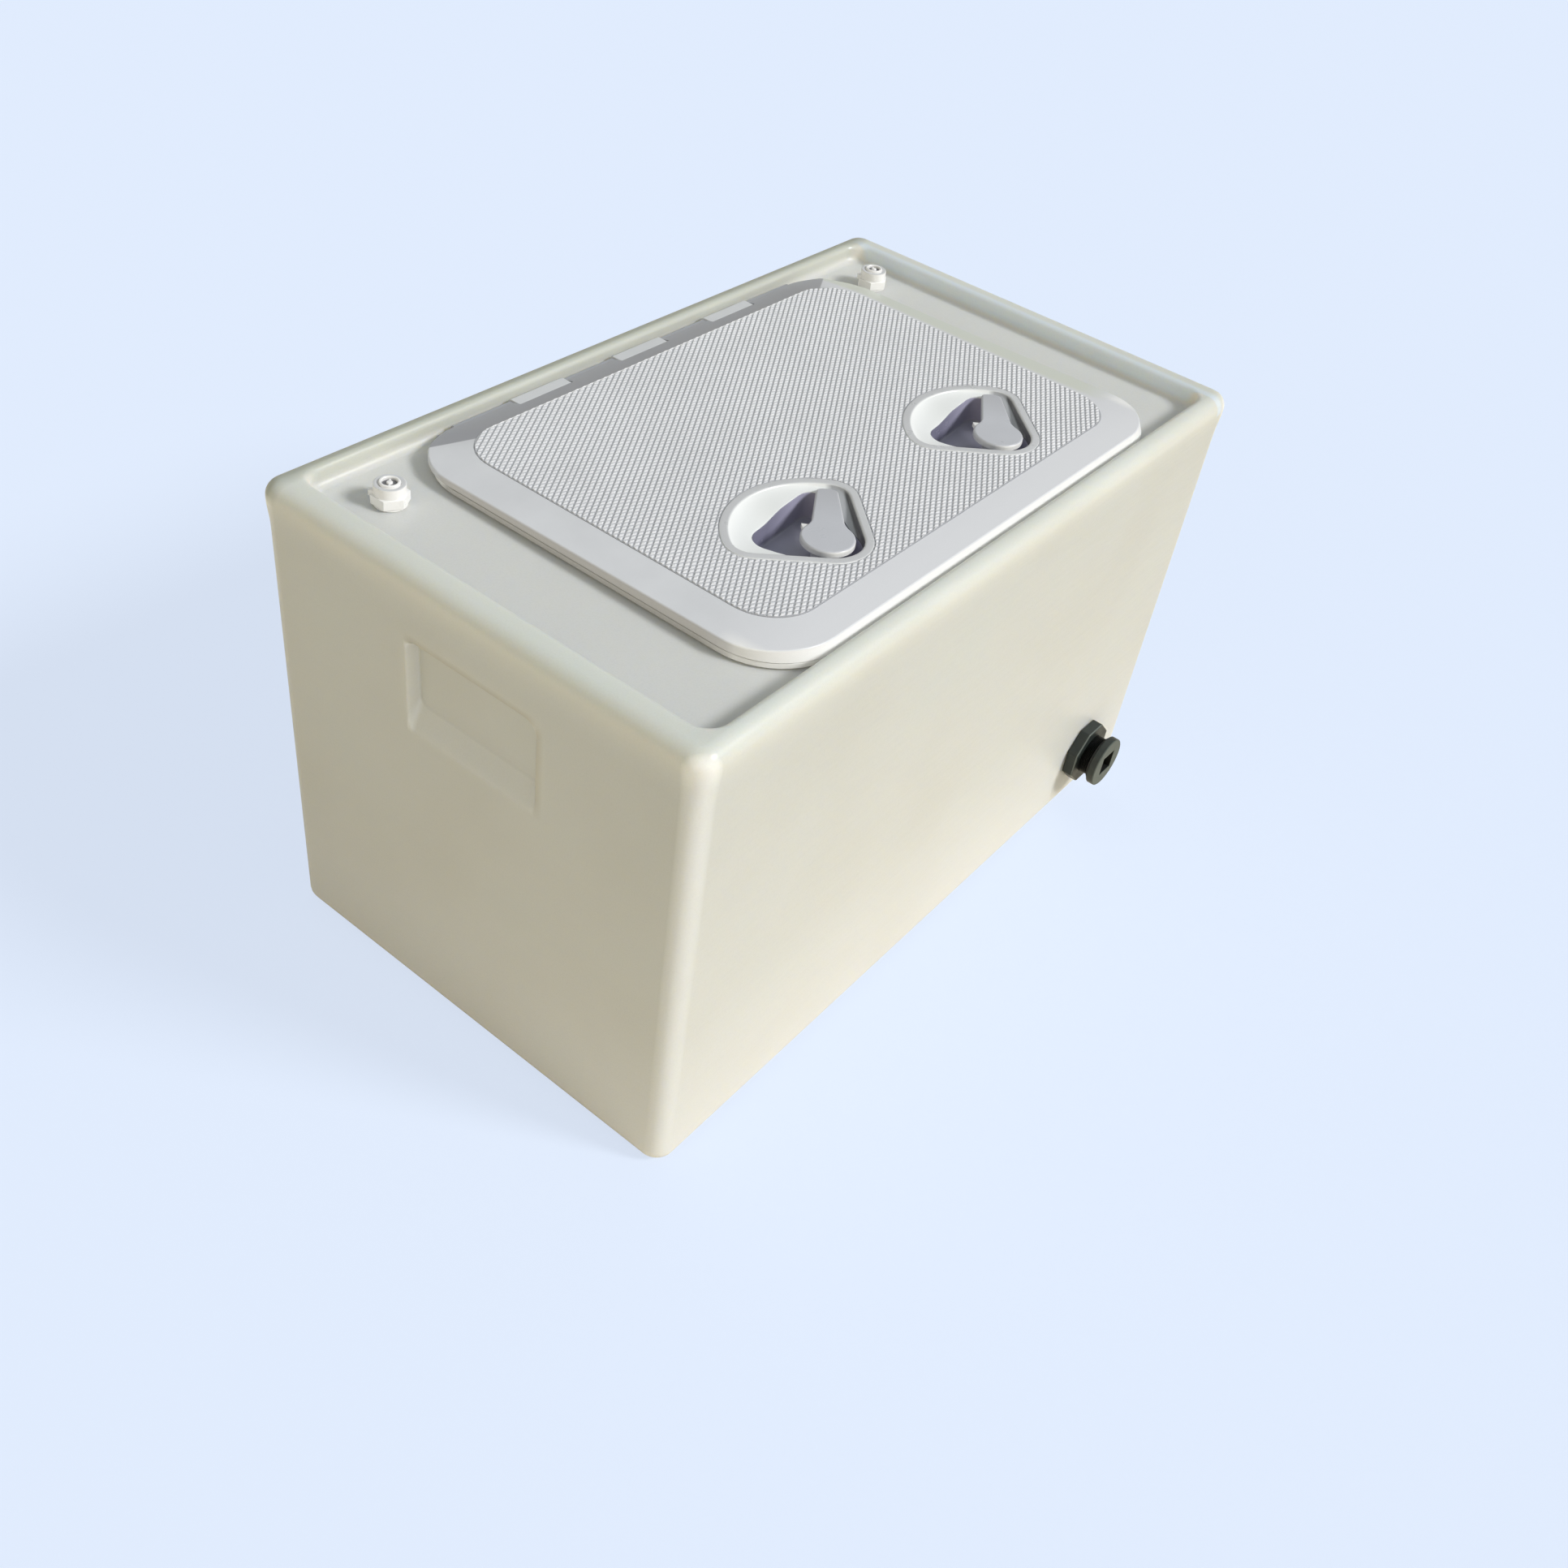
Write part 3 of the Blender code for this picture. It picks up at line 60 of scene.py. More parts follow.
# Hand grips. A step of the recess is (depth, inset at the sides, height of its foot).
GRIP_Y, GRIP_Z = -0.004, 0.269
GRIP_WIDTH, GRIP_HEIGHT, GRIP_DEPTH = 0.105, 0.066, 0.009
GRIP_CORNER = 0.009
GRIP_SIDE_SLOPE, GRIP_FOOT_SLOPE = 0.003, 0.016
GRIP_STEPS = (
    (-0.003, -0.004, -0.0055), (-0.0002, -0.0024, -0.0035), (0.0006, -0.0008, -0.0005),
    (0.0018, 0.0001, 0.0026), (0.0068, 0.0015, 0.012), (0.0085, 0.0024, 0.015), (0.009, 0.0036, 0.0172))

# Hatch
HATCH_X = 0.007
HATCH_LENGTH, HATCH_WIDTH, HATCH_CORNER = 0.44, 0.315, 0.048
HATCH_FRONT = -HATCH_WIDTH / 2
HINGE_Y, HINGE_Z = 0.153, 0.3422
FLANGE_REAR = 0.1485
FLANGE_FOOT, FLANGE_TOP, FLANGE_ROUND = 0.3386, 0.3418, 0.0008
NECK_LENGTH, NECK_WIDTH, NECK_CORNER = 0.368, 0.245, 0.03
NECK_WALL, NECK_FILLET, UPSTAND_ROUND = 0.003, 0.001, 0.0006
NECK_FOOT, UPSTAND_TOP = 0.322, 0.3446
LID_FOOT, LID_FOOT_ROUND, LID_WALL = 0.3421, 0.0003, 0.0026
BORDER_EDGE, BORDER_TOP = 0.3458, 0.3502
LIP_TOP, LIP_ROUND, LIP_SLOPE = 0.3494, 0.0012, 0.003
REAR_DROP, LEFT_DROP, RIGHT_DROP = 0.0046, 0.0032, 0.005
MITRE_X, MITRE_Y, MITRE_SLOPE = 0.1843, 0.13, 0.6
LID_UNDER, SEAL_OUTER, SEAL_DEPTH = 0.3474, 0.0025, 0.0038
PAD_LENGTH, PAD_WIDTH, PAD_CORNER = 0.388, 0.261, 0.033
PAD_TOP = 0.3512
KNUCKLE_LENGTH, KNUCKLE_PITCH, KNUCKLE_ROUND = 0.048, 0.097, 0.0036
NOTCH_LENGTH, NOTCH_FRONT = 0.049, 0.0086
BEAD = 0.0052
SCREW_SPAN_X, SCREW_SPAN_Y = 0.25, 0.13

# Screw head, heights above its seat
SCREW_HEAD = ((0.0, -0.012), (0.0009, -0.0096), (0.0015, -0.009), (0.0015, 0.0), (0.0034, 0.0),
              (0.0034, 0.0004), (0.003, 0.0011), (0.002, 0.0015), (0.0, 0.0016))
SCREW_SLOT = (0.004, 0.0009, 0.0016)

# Non-slip tread: a lattice of diamonds, long along the tank
TREAD_LONG, TREAD_SHORT = 0.006757, 0.004132
TREAD_RELIEF, TREAD_SKIN = 0.0008, 0.0004
TREAD_FOOT_SHARE, TREAD_TOP_SHARE = 0.9, 0.42
TREAD_MARGIN, TREAD_REACH = 0.0007, 0.0006
DIAMOND_POINTS = 8

# Latches. The outlines of mouth and cavity are taken round a point behind the knob's middle.
LATCH_X, LATCH_Y = (-0.08925, 0.10325), -0.091
LATCH_MIDDLE = 0.012
LATCH_HUB, LATCH_SWEEP = 0.0225, 0.06
LATCH_TIP_CORNER, LATCH_TIP_ANGLE = 0.012, math.radians(35)
LATCH_RING = 0.006
CAVITY_DISCS = ((0.0, 0.0, 0.022), (-0.02, 0.027, 0.0115), (0.0285, 0.0335, 0.0098))
CAVITY_EDGE, CAVITY_LIFT = 0.3443, 0.0039
# The cavity's edge climbs about one direction, less and less up to the reach on both sides of it, in degrees
LIFT_TURN, LIFT_REACH, LIFT_SLOPE = 48.0, 72.0, 48.0
BOWL_FLOOR, CUP_FOOT, CUP_BORE = 0.33, 0.3275, 0.0082
DISH_FOOT, SCOOP_TOP = 0.3428, 0.3502
# Steps of the slope from cavity to mouth: share on the open side, share behind the handle, height
SCOOP_STEPS = ((0.93, 0.93, 0.34465), (0.66, 0.5, 0.3453), (0.4, 0.12, 0.3462),
               (0.2, 0.06, 0.3475), (0.08, 0.03, 0.3489), (0.0, 0.0, SCOOP_TOP))
HANDLE_TOP, HANDLE_DISC = 0.351, 0.0171
HANDLE_TURN, HANDLE_SHOULDER = math.radians(39), math.radians(50)
HANDLE_TIP = ((0.0555, 0.0), (0.0553, 0.0022), (0.0547, 0.0042), (0.0536, 0.0056), (0.052, 0.0063))
HANDLE_BEND, HANDLE_ROOT = (0.0154, 0.0099), (0.019, 0.0096)
HANDLE_WIDER = 0.0018
HANDLE_THICKNESS, HANDLE_TIP_THICKNESS = 0.004, 0.002
HANDLE_ROUND, HUB_WIDTH, HUB_FOOT = 0.0015, 0.018, 0.3324
FIN_CORNERS = ((0.0124, 0.0108, 0.3503), (0.0138, 0.016, 0.3497), (0.007, 0.0151, 0.3503))
FIN_HEIGHT = 0.003

# Air ports. Profiles are (radius, height).
PORT_PLACES = {"left": (-0.246, 0.119), "right": (0.246, 0.119)}
PORT_HOLE, PORT_BORE, PORT_MOUTH = 0.0126, 0.011, 0.015
PORT_FLATS, PORT_FOOT, PORT_HEX_TOP = 0.021, 0.3386, 0.345
PORT_CUT_LOW, PORT_CUT_HIGH, PORT_MOUTH_FOOT = 0.338, 0.346, 0.343
PORT_BARREL = ((0.006, 0.3226), (0.006, 0.3416), (0.0099, 0.3418), (0.0099, 0.3509), (0.0097, 0.3514),
               (0.0092, 0.3516), (0.0078, 0.3516), (0.007, 0.3512), (0.0065, 0.3506), (0.0065, 0.3442),
               (0.0047, 0.3441), (0.0047, 0.3401), (0.0028, 0.34), (0.0028, 0.3226))
LUG_TURN, LUG_REACH, LUG_Z, LUG_SIZE = math.radians(140), 0.0104, 0.3456, (0.0046, 0.0036, 0.0038)
RELEASE_RING = ((0.0048, 0.3454), (0.0048, 0.3523), (0.0052, 0.3528), (0.006, 0.3528), (0.0064, 0.3524),
                (0.0064, 0.3454))
VALVE_SEAT = ((0.0, 0.3404), (0.0042, 0.3404), (0.0042, 0.3422), (0.0, 0.3422))
VALVE_POST = ((0.0, 0.342), (0.003, 0.342), (0.003, 0.35), (0.0044, 0.3504), (0.0044, 0.351),
              (0.0, 0.351))
VALVE_NUB = ((0.0, 0.3508), (0.0019, 0.3508), (0.0019, 0.3519), (0.0016, 0.3523), (0.0008, 0.3525),
             (0.0, 0.3525))
WEB_Z, WEB_SIZE, WEB_TURN = 0.3512, (0.0086, 0.0013, 0.001), math.radians(46)

# Drain. Profiles are (radius, distance out of the wall).
# A thread is (radius of its crests, depth, where it starts and ends, number of turns).
DRAIN_X, DRAIN_WALL, DRAIN_Z = 0.2175, -0.17366, 0.0515
DRAIN_PLACE, OUTWARDS = (DRAIN_X, DRAIN_WALL, DRAIN_Z), (0, -1, 0)
DRAIN_BORE = 0.0336
NUT_FLATS, NUT_LOW, NUT_HIGH, NUT_ROUND = 0.0496, 0.0003, 0.0098, 0.0011
TUBE_FOOT = ((0.012, -0.0111), (0.0235, -0.0111), (0.024, -0.0106), (0.024, -0.0071),
             (0.0165, -0.0071), (0.0165, 0.0099))
TUBE_TIP = ((0.0162, 0.0174), (0.012, 0.0174))
TUBE_THREAD, PLUG_THREAD = (0.0165, 0.0007, 0.0102, 0.0168, 5), (0.0119, 0.0006, 0.0086, 0.0186, 7)
SEAL_RING = ((0.0123, 0.0177), (0.018, 0.0177), (0.0185, 0.0181), (0.0185, 0.0191), (0.018, 0.0195),
             (0.0123, 0.0195))
PLUG_FACE = 0.0264
PLUG_SHANK = ((0.0, 0.0078), (0.0106, 0.0078))
PLUG_HEAD = ((0.0119, 0.0198), (0.0207, 0.0198), (0.0213, 0.0204), (0.0213, 0.0254), (0.0211, 0.026),
             (0.0205, PLUG_FACE), (0.0, PLUG_FACE))
SOCKET, SOCKET_DEPTH = 0.0176, 0.008

# How finely round forms are divided
CORNER_STEPS, GRIP_CORNER_STEPS, OUTLINE_POINTS = 12, 6, 96
SMALL_ROUND, ROUND, WIDE_ROUND = 32, 48, 64
SMOOTH_ANGLE, TREAD_SMOOTH_ANGLE = math.radians(30), math.radians(20)

# Light
BACKDROP = (0.745, 0.831, 0.991, 1.0)
ROOM_LIGHT = 0.4
ROOM_TONES = [(0.0, (1.0, 0.87, 0.68)), (0.8, (0.86, 0.95, 1.0))]
FLOOR_LIT, FLOOR_SEEN = (0.8, 0.74, 0.62), (0.78, 0.865, 1.0)
FLOOR_GLOW, FLOOR_GLOW_SHARE = 1.04, 0.76

# Every finish by its name, once it is made
FINISHES = {}


# ---- camera and light
def put(name, data, place, turn):
    """The camera or a lamp at its place, turned its way."""
    holder = bpy.data.objects.new(name, data)
    holder.matrix_world = Matrix.Translation(place) @ turn.to_4x4()
    bpy.context.scene.collection.objects.link(holder)
    return holder


def place_camera():
    """The photograph's viewpoint, found from the tank's own edges."""
    right = Vector((0.61794337, -0.77679866, 0.12136649))
    up = Vector((0.45519288, 0.47934082, 0.75035446))
    ahead = Vector((0.64105026, 0.40843141, -0.6497987))
    eye = Vector((-0.77070173621, -0.52114989424, 0.86261128129))
    lens = bpy.data.cameras.new("view")
    lens.sensor_width, lens.lens = 36.0, 36.085
    lens.shift_x, lens.shift_y = -0.001847, -0.01739
    lens.clip_start = 0.01
    bpy.context.scene.camera = put("view", lens, eye, Matrix((right, up, -ahead)).transposed())


def add_sun(name, towards, softness, strength, colour):
    """A broad distant lamp, by the direction that its light comes from."""
    lamp = bpy.data.lights.new(name, "SUN")
    lamp.angle, lamp.energy, lamp.color = math.radians(softness), strength, colour
    put(name, lamp, towards, (-Vector(towards)).to_track_quat("-Z", "Y").to_matrix())


def show(owner, kind, share, first, second):
    """Let the world or a material show its first shader where the share is 0 and its second where it is 1."""
    surface = compute(owner, "MixShader", {"Fac": share, 1: first, 2: second}, 0)
    compute(owner, kind, {"Surface": surface}, None)


def light_room():
    """A pale room: one soft window from the front, a warm wall by the near end, cool light from above."""
    world = bpy.data.worlds.new("room")
    bpy.context.scene.world = world
    world.use_nodes = True
    world.node_tree.nodes.clear()
    tones = ramp(world, height_of(world, compute(world, "TexCoord", {}, "Generated")), ROOM_TONES)
    lit = compute(world, "Background", {"Color": tones, "Strength": ROOM_LIGHT}, 0)
    seen = compute(world, "Background", {"Color": BACKDROP}, 0)
    show(world, "OutputWorld", compute(world, "LightPath", {}, "Is Camera Ray"), lit, seen)
    add_sun("window", (0.85, -2.0, 1.55), 14.0, 2.45, (1.0, 0.995, 0.985))
    add_sun("warm_wall", (-2.4, -0.3, 0.9), 60.0, 0.55, (1.0, 0.87, 0.6))
    bpy.context.scene.view_settings.view_transform = "Standard"


def lay_floor():
    """A wide paper floor that the camera sees in the backdrop's colour, with the tank's shadow on it."""
    object_mode()
    bpy.ops.mesh.primitive_plane_add(size=40, location=(0, 0, 0))
    floor = named("floor")
    bpy.ops.object.mode_set(mode="EDIT")
    bpy.ops.mesh.subdivide(number_cuts=3)
    bpy.ops.transform.translate(value=(0, 0, -0.0002))
    object_mode()
    mat = bpy.data.materials.new("floor_paper")
    mat.use_nodes = True
    mat.node_tree.nodes.clear()
    by_camera = compute(mat, "LightPath", {}, "Is Camera Ray")
    paper = compute(mat, "BsdfDiffuse", {"Color": blend_colour(mat, by_camera, FLOOR_LIT, FLOOR_SEEN)}, 0)
    glow = compute(mat, "Emission", {"Color": BACKDROP, "Strength": FLOOR_GLOW}, 0)
    share = compute(mat, "Math", {0: by_camera, 1: FLOOR_GLOW_SHARE}, 0, operation="MULTIPLY")
    show(mat, "OutputMaterial", share, paper, glow)
    floor.data.materials.append(mat)


# ---- modelling steps
def object_mode():
    if bpy.context.object and bpy.context.object.mode != "OBJECT":
        bpy.ops.object.mode_set(mode="OBJECT")
    bpy.ops.object.select_all(action="DESELECT")


def take(piece):
    """Make one object the selected and active one."""
    object_mode()
    piece.select_set(True)
    bpy.context.view_layer.objects.active = piece


def edit(piece):
    """Open one object in edit mode."""
    take(piece)
    bpy.ops.object.mode_set(mode="EDIT")


def named(name):
    """The object that was just made, with its name and its mesh's."""
    piece = bpy.context.object
    piece.name = name
    piece.data.name = name
    return piece


def new_piece(name):
    """An empty mesh object, in edit mode."""
    object_mode()
    bpy.ops.object.add(type="MESH", location=(0, 0, 0), enter_editmode=True)
    bpy.ops.mesh.select_mode(type="VERT")
    return named(name)


def sculpt():
    return bmesh.from_edit_mesh(bpy.context.object.data)


def update():
    bmesh.update_edit_mesh(bpy.context.object.data)


def ease(value, start, width):
    """A share that runs from 0 at the start to 1 after the width."""
    return min(max((value - start) / width, 0.0), 1.0)


def select(kind, test):
    """In edit mode, select what passes the test."""
    bpy.ops.mesh.select_mode(type=kind)
    bpy.ops.mesh.select_all(action="DESELECT")
    bm = sculpt()
    for element in bm.verts if kind == "VERT" else bm.edges:
        if test(element):
            element.select_set(True)
    bm.select_flush_mode()
    update()


def select_all():
    bpy.ops.mesh.select_all(action="SELECT")


def bevel(width, segments):
    """Round the selected edges."""
    bpy.ops.mesh.bevel(offset=width, segments=segments, affect="EDGES", clamp_overlap=True)


def extrude(offset):
    bpy.ops.mesh.extrude_region_move(TRANSFORM_OT_translate={"value": offset})


def face_outwards():
    """Turn every face of the open mesh outwards."""
    select_all()
    bpy.ops.mesh.normals_make_consistent(inside=False)


def rounded(centre, size, corner, steps, tilt=0.0):
    """A step that lays one outline with rounded corners, level or tilted upright."""
    def lay():
        bpy.ops.mesh.primitive_plane_add(size=1, location=centre, rotation=(0, tilt, 0))
        bpy.ops.transform.resize(value=size, center_override=centre)
        bpy.ops.mesh.bevel(offset_type="OFFSET", offset=corner, segments=steps, affect="VERTICES")
    return lay


def rectangle(x0, x1, y0, y1, corner, z):
    """A level outline, by its four sides."""
    return rounded(((x0 + x1) / 2, (y0 + y1) / 2, z), (x1 - x0, y1 - y0, 1), corner, CORNER_STEPS)


def upright(x, y0, y1, z0, z1, corner):
    """An outline on an end wall, by its four sides."""
    return rounded((x, (y0 + y1) / 2, (z0 + z1) / 2), (1, y1 - y0, z1 - z0), corner, GRIP_CORNER_STEPS,
                   math.pi / 2)


def outline(reach, hub, z, lift=None):
    """A step that lays a circle whose points are pulled to a reach, and a lift, in each direction."""
    def lay():
        bpy.ops.mesh.primitive_circle_add(vertices=OUTLINE_POINTS, radius=1, location=(0, 0, z))
        for vert in [v for v in sculpt().verts if v.select]:
            angle = math.atan2(vert.co.y, vert.co.x)
            far = reach(angle)
            rise = lift(angle) if lift else 0.0
            vert.co = Vector((hub[0] + far * math.cos(angle), hub[1] + far * math.sin(angle), z + rise))
        update()
    return lay


def rows(outline_of, *steps):
    """Several outlines of one kind, each by its own values."""
    return [outline_of(*step) for step in steps]


def shell(name, steps, closed=False):
    """Lay a row of outlines and bridge each to the one before."""
    piece = new_piece(name)
    sculpt().verts.layers.int.new("row")
    for row, lay in enumerate(steps, 1):
        bpy.ops.mesh.select_all(action="DESELECT")
        lay()
        bm = sculpt()
        mark = bm.verts.layers.int["row"]
        filled = any(face.select for face in bm.faces)
        for vert in bm.verts:
            if vert.select:
                vert[mark] = row
        update()
        if filled:
            bpy.ops.mesh.delete(type="ONLY_FACE")
        if row > 1:
            bridge(row - 1, row)
    if closed:
        bridge(len(steps), 1)
    else:
        cap(1)
        cap(len(steps))
    face_outwards()
    object_mode()
    piece.data.attributes.remove(piece.data.attributes["row"])
    return piece


def select_rows(*chosen):
    mark = sculpt().verts.layers.int["row"]
    select("VERT", lambda vert: vert[mark] in chosen)


def bridge(low, high):
    """Bridge two outlines. Level ones are held apart meanwhile, or the bridge may take them crosswise."""
    mark = sculpt().verts.layers.int["row"]
    first, second = ([v.co for v in sculpt().verts if v[mark] == row] for row in (low, high))
    level = max(abs(a.z - b.z) for a, b in zip(first, second)) < 1e-6
    select_rows(high)
    if level:
        bpy.ops.transform.translate(value=(0, 0, 0.01))
    select_rows(low, high)
    bpy.ops.mesh.bridge_edge_loops()
    if level:
        select_rows(high)
        bpy.ops.transform.translate(value=(0, 0, -0.01))


def cap(row):
    select_rows(row)
    bpy.ops.mesh.edge_face_add()


def draw(places):
    """In edit mode, draw a line point by point."""
    bpy.ops.mesh.primitive_plane_add(size=0.001, location=places[0])
    bpy.ops.mesh.merge(type="CENTER")
    for here, there in zip(places, places[1:]):
        extrude(there - here)


def draw_plate(name, corners, thickness):
    """Draw an outline point by point, fill it and extrude it downwards."""
    plate = new_piece(name)
    draw([Vector(corner) for corner in corners])
    select_all()
    bpy.ops.mesh.edge_face_add()
    extrude((0, 0, -thickness))
    return plate


def turned(name, profile, centre, axis=(0, 0, 1), steps=ROUND, closed=False):
    """Draw half a section point by point and spin it round its axis."""
    along, side = Vector(axis), Vector((1, 0, 0))
    places = [Vector(centre) + side * radius + along * height for radius, height in profile]
    piece = new_piece(name)
    draw(places)
    if closed:
        ends = (places[0], places[-1])
        select("VERT", lambda vert: any((vert.co - end).length < 1e-7 for end in ends))
        bpy.ops.mesh.edge_face_add()
    select_all()
    bpy.ops.mesh.spin(steps=steps, angle=2 * math.pi, center=centre, axis=axis)
    select_all()
    bpy.ops.mesh.remove_doubles(threshold=1e-6)
    face_outwards()
    object_mode()
    return piece


def settle(name, rounding, segments):
    """Name a new solid, set its place in its mesh and round its edges."""
    piece = named(name)
    bpy.ops.object.transform_apply()
    if rounding:
        bpy.ops.object.mode_set(mode="EDIT")
        select_all()
        bpy.ops.mesh.bevel(offset=rounding, segments=segments, affect="EDGES")
    object_mode()
    return piece


def block(name, centre, size, rounding=0.0, turn=0.0):
    """A cube at its size and place."""
    object_mode()
    bpy.ops.mesh.primitive_cube_add(size=1, location=centre, rotation=(0, 0, turn))
    bpy.context.object.scale = size
    return settle(name, rounding, 3)


def bar(name, sides, flats, low, high, centre, axis="Z", rounding=0.0, segments=2, turn=0.0):
    """A regular prism by its width over the flats."""
    radius = flats / 2 / math.cos(math.pi / sides)
    object_mode()
    tilt = (0, 0, turn) if axis == "Z" else (math.pi / 2, turn, 0)
    middle = (low + high) / 2
    place = Vector(centre) + (Vector((0, 0, middle)) if axis == "Z" else Vector((0, -middle, 0)))
    bpy.ops.mesh.primitive_cylinder_add(vertices=sides, radius=radius, depth=high - low, location=place,
                                        rotation=tilt)
    return settle(name, rounding, segments)


def modify(piece, kind, **settings):
    """Give the active piece one modifier and apply it."""
    bpy.ops.object.modifier_add(type=kind)
    modifier = piece.modifiers[-1]
    for key, value in settings.items():
        setattr(modifier, key, value)
    bpy.ops.object.modifier_apply(modifier=modifier.name)


def combine(piece, other, operation):
    take(piece)
    modify(piece, "BOOLEAN", operation=operation, solver="EXACT", object=other)
    bpy.data.objects.remove(other, do_unlink=True)


def cut(piece, cutter):
    combine(piece, cutter, "DIFFERENCE")


def fuse(piece, other):
    combine(piece, other, "UNION")


def join(pieces):
    """Several closed shapes as one object."""
    take(pieces[0])
    for piece in pieces[1:]:
        piece.select_set(True)
    bpy.ops.object.join()


def copy_piece(piece, name, offset):
    """A copy with its own mesh, moved to its place."""
    take(piece)
    bpy.ops.object.duplicate(linked=False)
    twin = named(name)
    bpy.ops.transform.translate(value=offset)
    bpy.ops.object.transform_apply()
    return twin


def finish(piece, body, node, look, angle=SMOOTH_ANGLE):
    """Smooth the piece, give it its finish and tie it to the part."""
    take(piece)
    bpy.ops.object.transform_apply()
    bpy.ops.object.shade_smooth_by_angle(angle=angle)
    modify(piece, "WEIGHTED_NORMAL", keep_sharp=True, weight=80)
    piece.data.materials.clear()
    piece.data.materials.append(FINISHES[look])
    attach(piece, body)
    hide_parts(node)
    object_mode()


# ---- finishes
def compute(owner, kind, inputs, output, **settings):
    """Add a node with its settings, give each input a value or a link, and hand back one output."""
    node = owner.node_tree.nodes.new("ShaderNode" + kind)
    for key, value in settings.items():
        setattr(node, key, value)
    for socket, value in inputs.items():
        supply(owner, node.inputs[socket], value)
    return None if output is None else node.outputs[output]


def supply(owner, socket, value):
    if isinstance(value, bpy.types.NodeSocket):
        owner.node_tree.links.new(value, socket)
    else:
        socket.default_value = value


def shade(name, **constants):
    """A finish, and the piece's own coordinates."""
    mat = bpy.data.materials.new(name)
    mat.use_nodes = True
    dress(mat, **constants)
    return mat, compute(mat, "TexCoord", {}, "Object")


def dress(mat, **values):
    """Give the finish's shader values or links."""
    shader = mat.node_tree.nodes["Principled BSDF"]
    for socket, value in values.items():
        supply(mat, shader.inputs[socket.replace("_", " ")], value)


def noise(mat, where, scale, detail=3.0, roughness=0.55, stretch=None):
    """Noise on the piece, in features per metre."""
    if stretch:
        where = compute(mat, "Mapping", {"Vector": where, "Scale": stretch}, "Vector")
    return compute(mat, "TexNoise", {"Vector": where, "Scale": scale, "Detail": detail,
                                     "Roughness": roughness}, "Fac")


def ramp(owner, value, stops):
    """Colours along a value."""
    colours = compute(owner, "ValToRGB", {"Fac": value}, "Color")
    row = colours.node.color_ramp.elements
    while len(row) < len(stops):
        row.new(0.5)
    for element, (place, colour) in zip(row, stops):
        element.position = place
        element.color = (*colour, 1.0)
    return colours


def span(mat, value, low, high, to_low=0.0, to_high=1.0):
    """Stretch a value onto a new range."""
    return compute(mat, "MapRange", {"Value": value, "From Min": low, "From Max": high, "To Min": to_low,
                                     "To Max": to_high}, "Result")


def blend_colour(mat, share, first, second, mode="MIX"):
    first, second = ((*tone, 1.0) if isinstance(tone, tuple) else tone for tone in (first, second))
    return compute(mat, "Mix", {0: share, 6: first, 7: second}, 2, data_type="RGBA", blend_type=mode)


def relief(mat, layers):
    """Stack bumps of (value, strength, depth)."""
    under = {}
    for value, strength, depth in layers:
        inputs = {"Height": value, "Strength": strength, "Distance": depth, **under}
        under = {"Normal": compute(mat, "Bump", inputs, "Normal")}
    return under["Normal"]


def height_of(owner, where):
    """The height of a point."""
    return compute(owner, "SeparateXYZ", {0: where}, "Z")


def facing(direction):
    """Makes planes square to one axis, each by the place that it passes through and its softness."""
    return lambda place, softness: (direction, place * sum(direction), softness)


right_of, left_of = facing((1.0, 0.0, 0.0)), facing((-1.0, 0.0, 0.0))
behind, in_front = facing((0.0, 1.0, 0.0)), facing((0.0, -1.0, 0.0))
above, below = facing((0.0, 0.0, 1.0)), facing((0.0, 0.0, -1.0))


def zone_mask(mat, where, planes):
    """A mask that is 1 where a point lies beyond every plane of a zone, and 0 elsewhere."""
    total = None
    for direction, distance, softness in planes:
        along = compute(mat, "VectorMath", {0: where, 1: direction}, "Value", operation="DOT_PRODUCT")
        mask = span(mat, along, distance - softness, distance + softness)
        total = compute(mat, "Math", {0: total, 1: mask}, 0, operation="MULTIPLY") if total else mask
    return total


def fold_ends(mat, where):
    """The place of a point with both ends of the tank laid over each other."""
    x, y, z = (compute(mat, "SeparateXYZ", {0: where}, axis) for axis in "XYZ")
    x = compute(mat, "Math", {0: x}, 0, operation="ABSOLUTE")
    return compute(mat, "CombineXYZ", {0: x, 1: y, 2: z}, 0)


def fold_all(mat, where):
    """The place of a point with the tank's four quarters laid over each other."""
    return compute(mat, "VectorMath", {0: where}, "Vector", operation="ABSOLUTE")


def grip_painted_light():
    """Painted light and shade in the recess: its rear wall painted lit, its foot painted a little paler, its
    upper and front edges painted shaded.
    """
    walls = [left_of(0.2988, 0.0006), right_of(0.2905, 0.0004), above(0.235, 0.0015),
             in_front(0.0492, 0.0006)]
    rear = [behind(0.0445, 0.0015), below(0.301, 0.0015)]
    foot = [behind(-0.056, 0.001), below(0.256, 0.004)]
    upper = [above(0.3008, 0.001), below(0.3052, 0.0026), in_front(0.046, 0.004),
             behind(-0.054, 0.004), right_of(0.295, 0.001)]
    front = [in_front(-0.0568, 0.001), behind(-0.0612, 0.0024), above(0.24, 0.008),
             below(0.3, 0.004), right_of(0.295, 0.001)]
    return [(walls + foot, (0.76, 0.752, 0.69)), (walls + rear, (0.92, 0.93, 0.89)),
            (upper, (0.47, 0.455, 0.4)), (front, (0.56, 0.545, 0.485))]


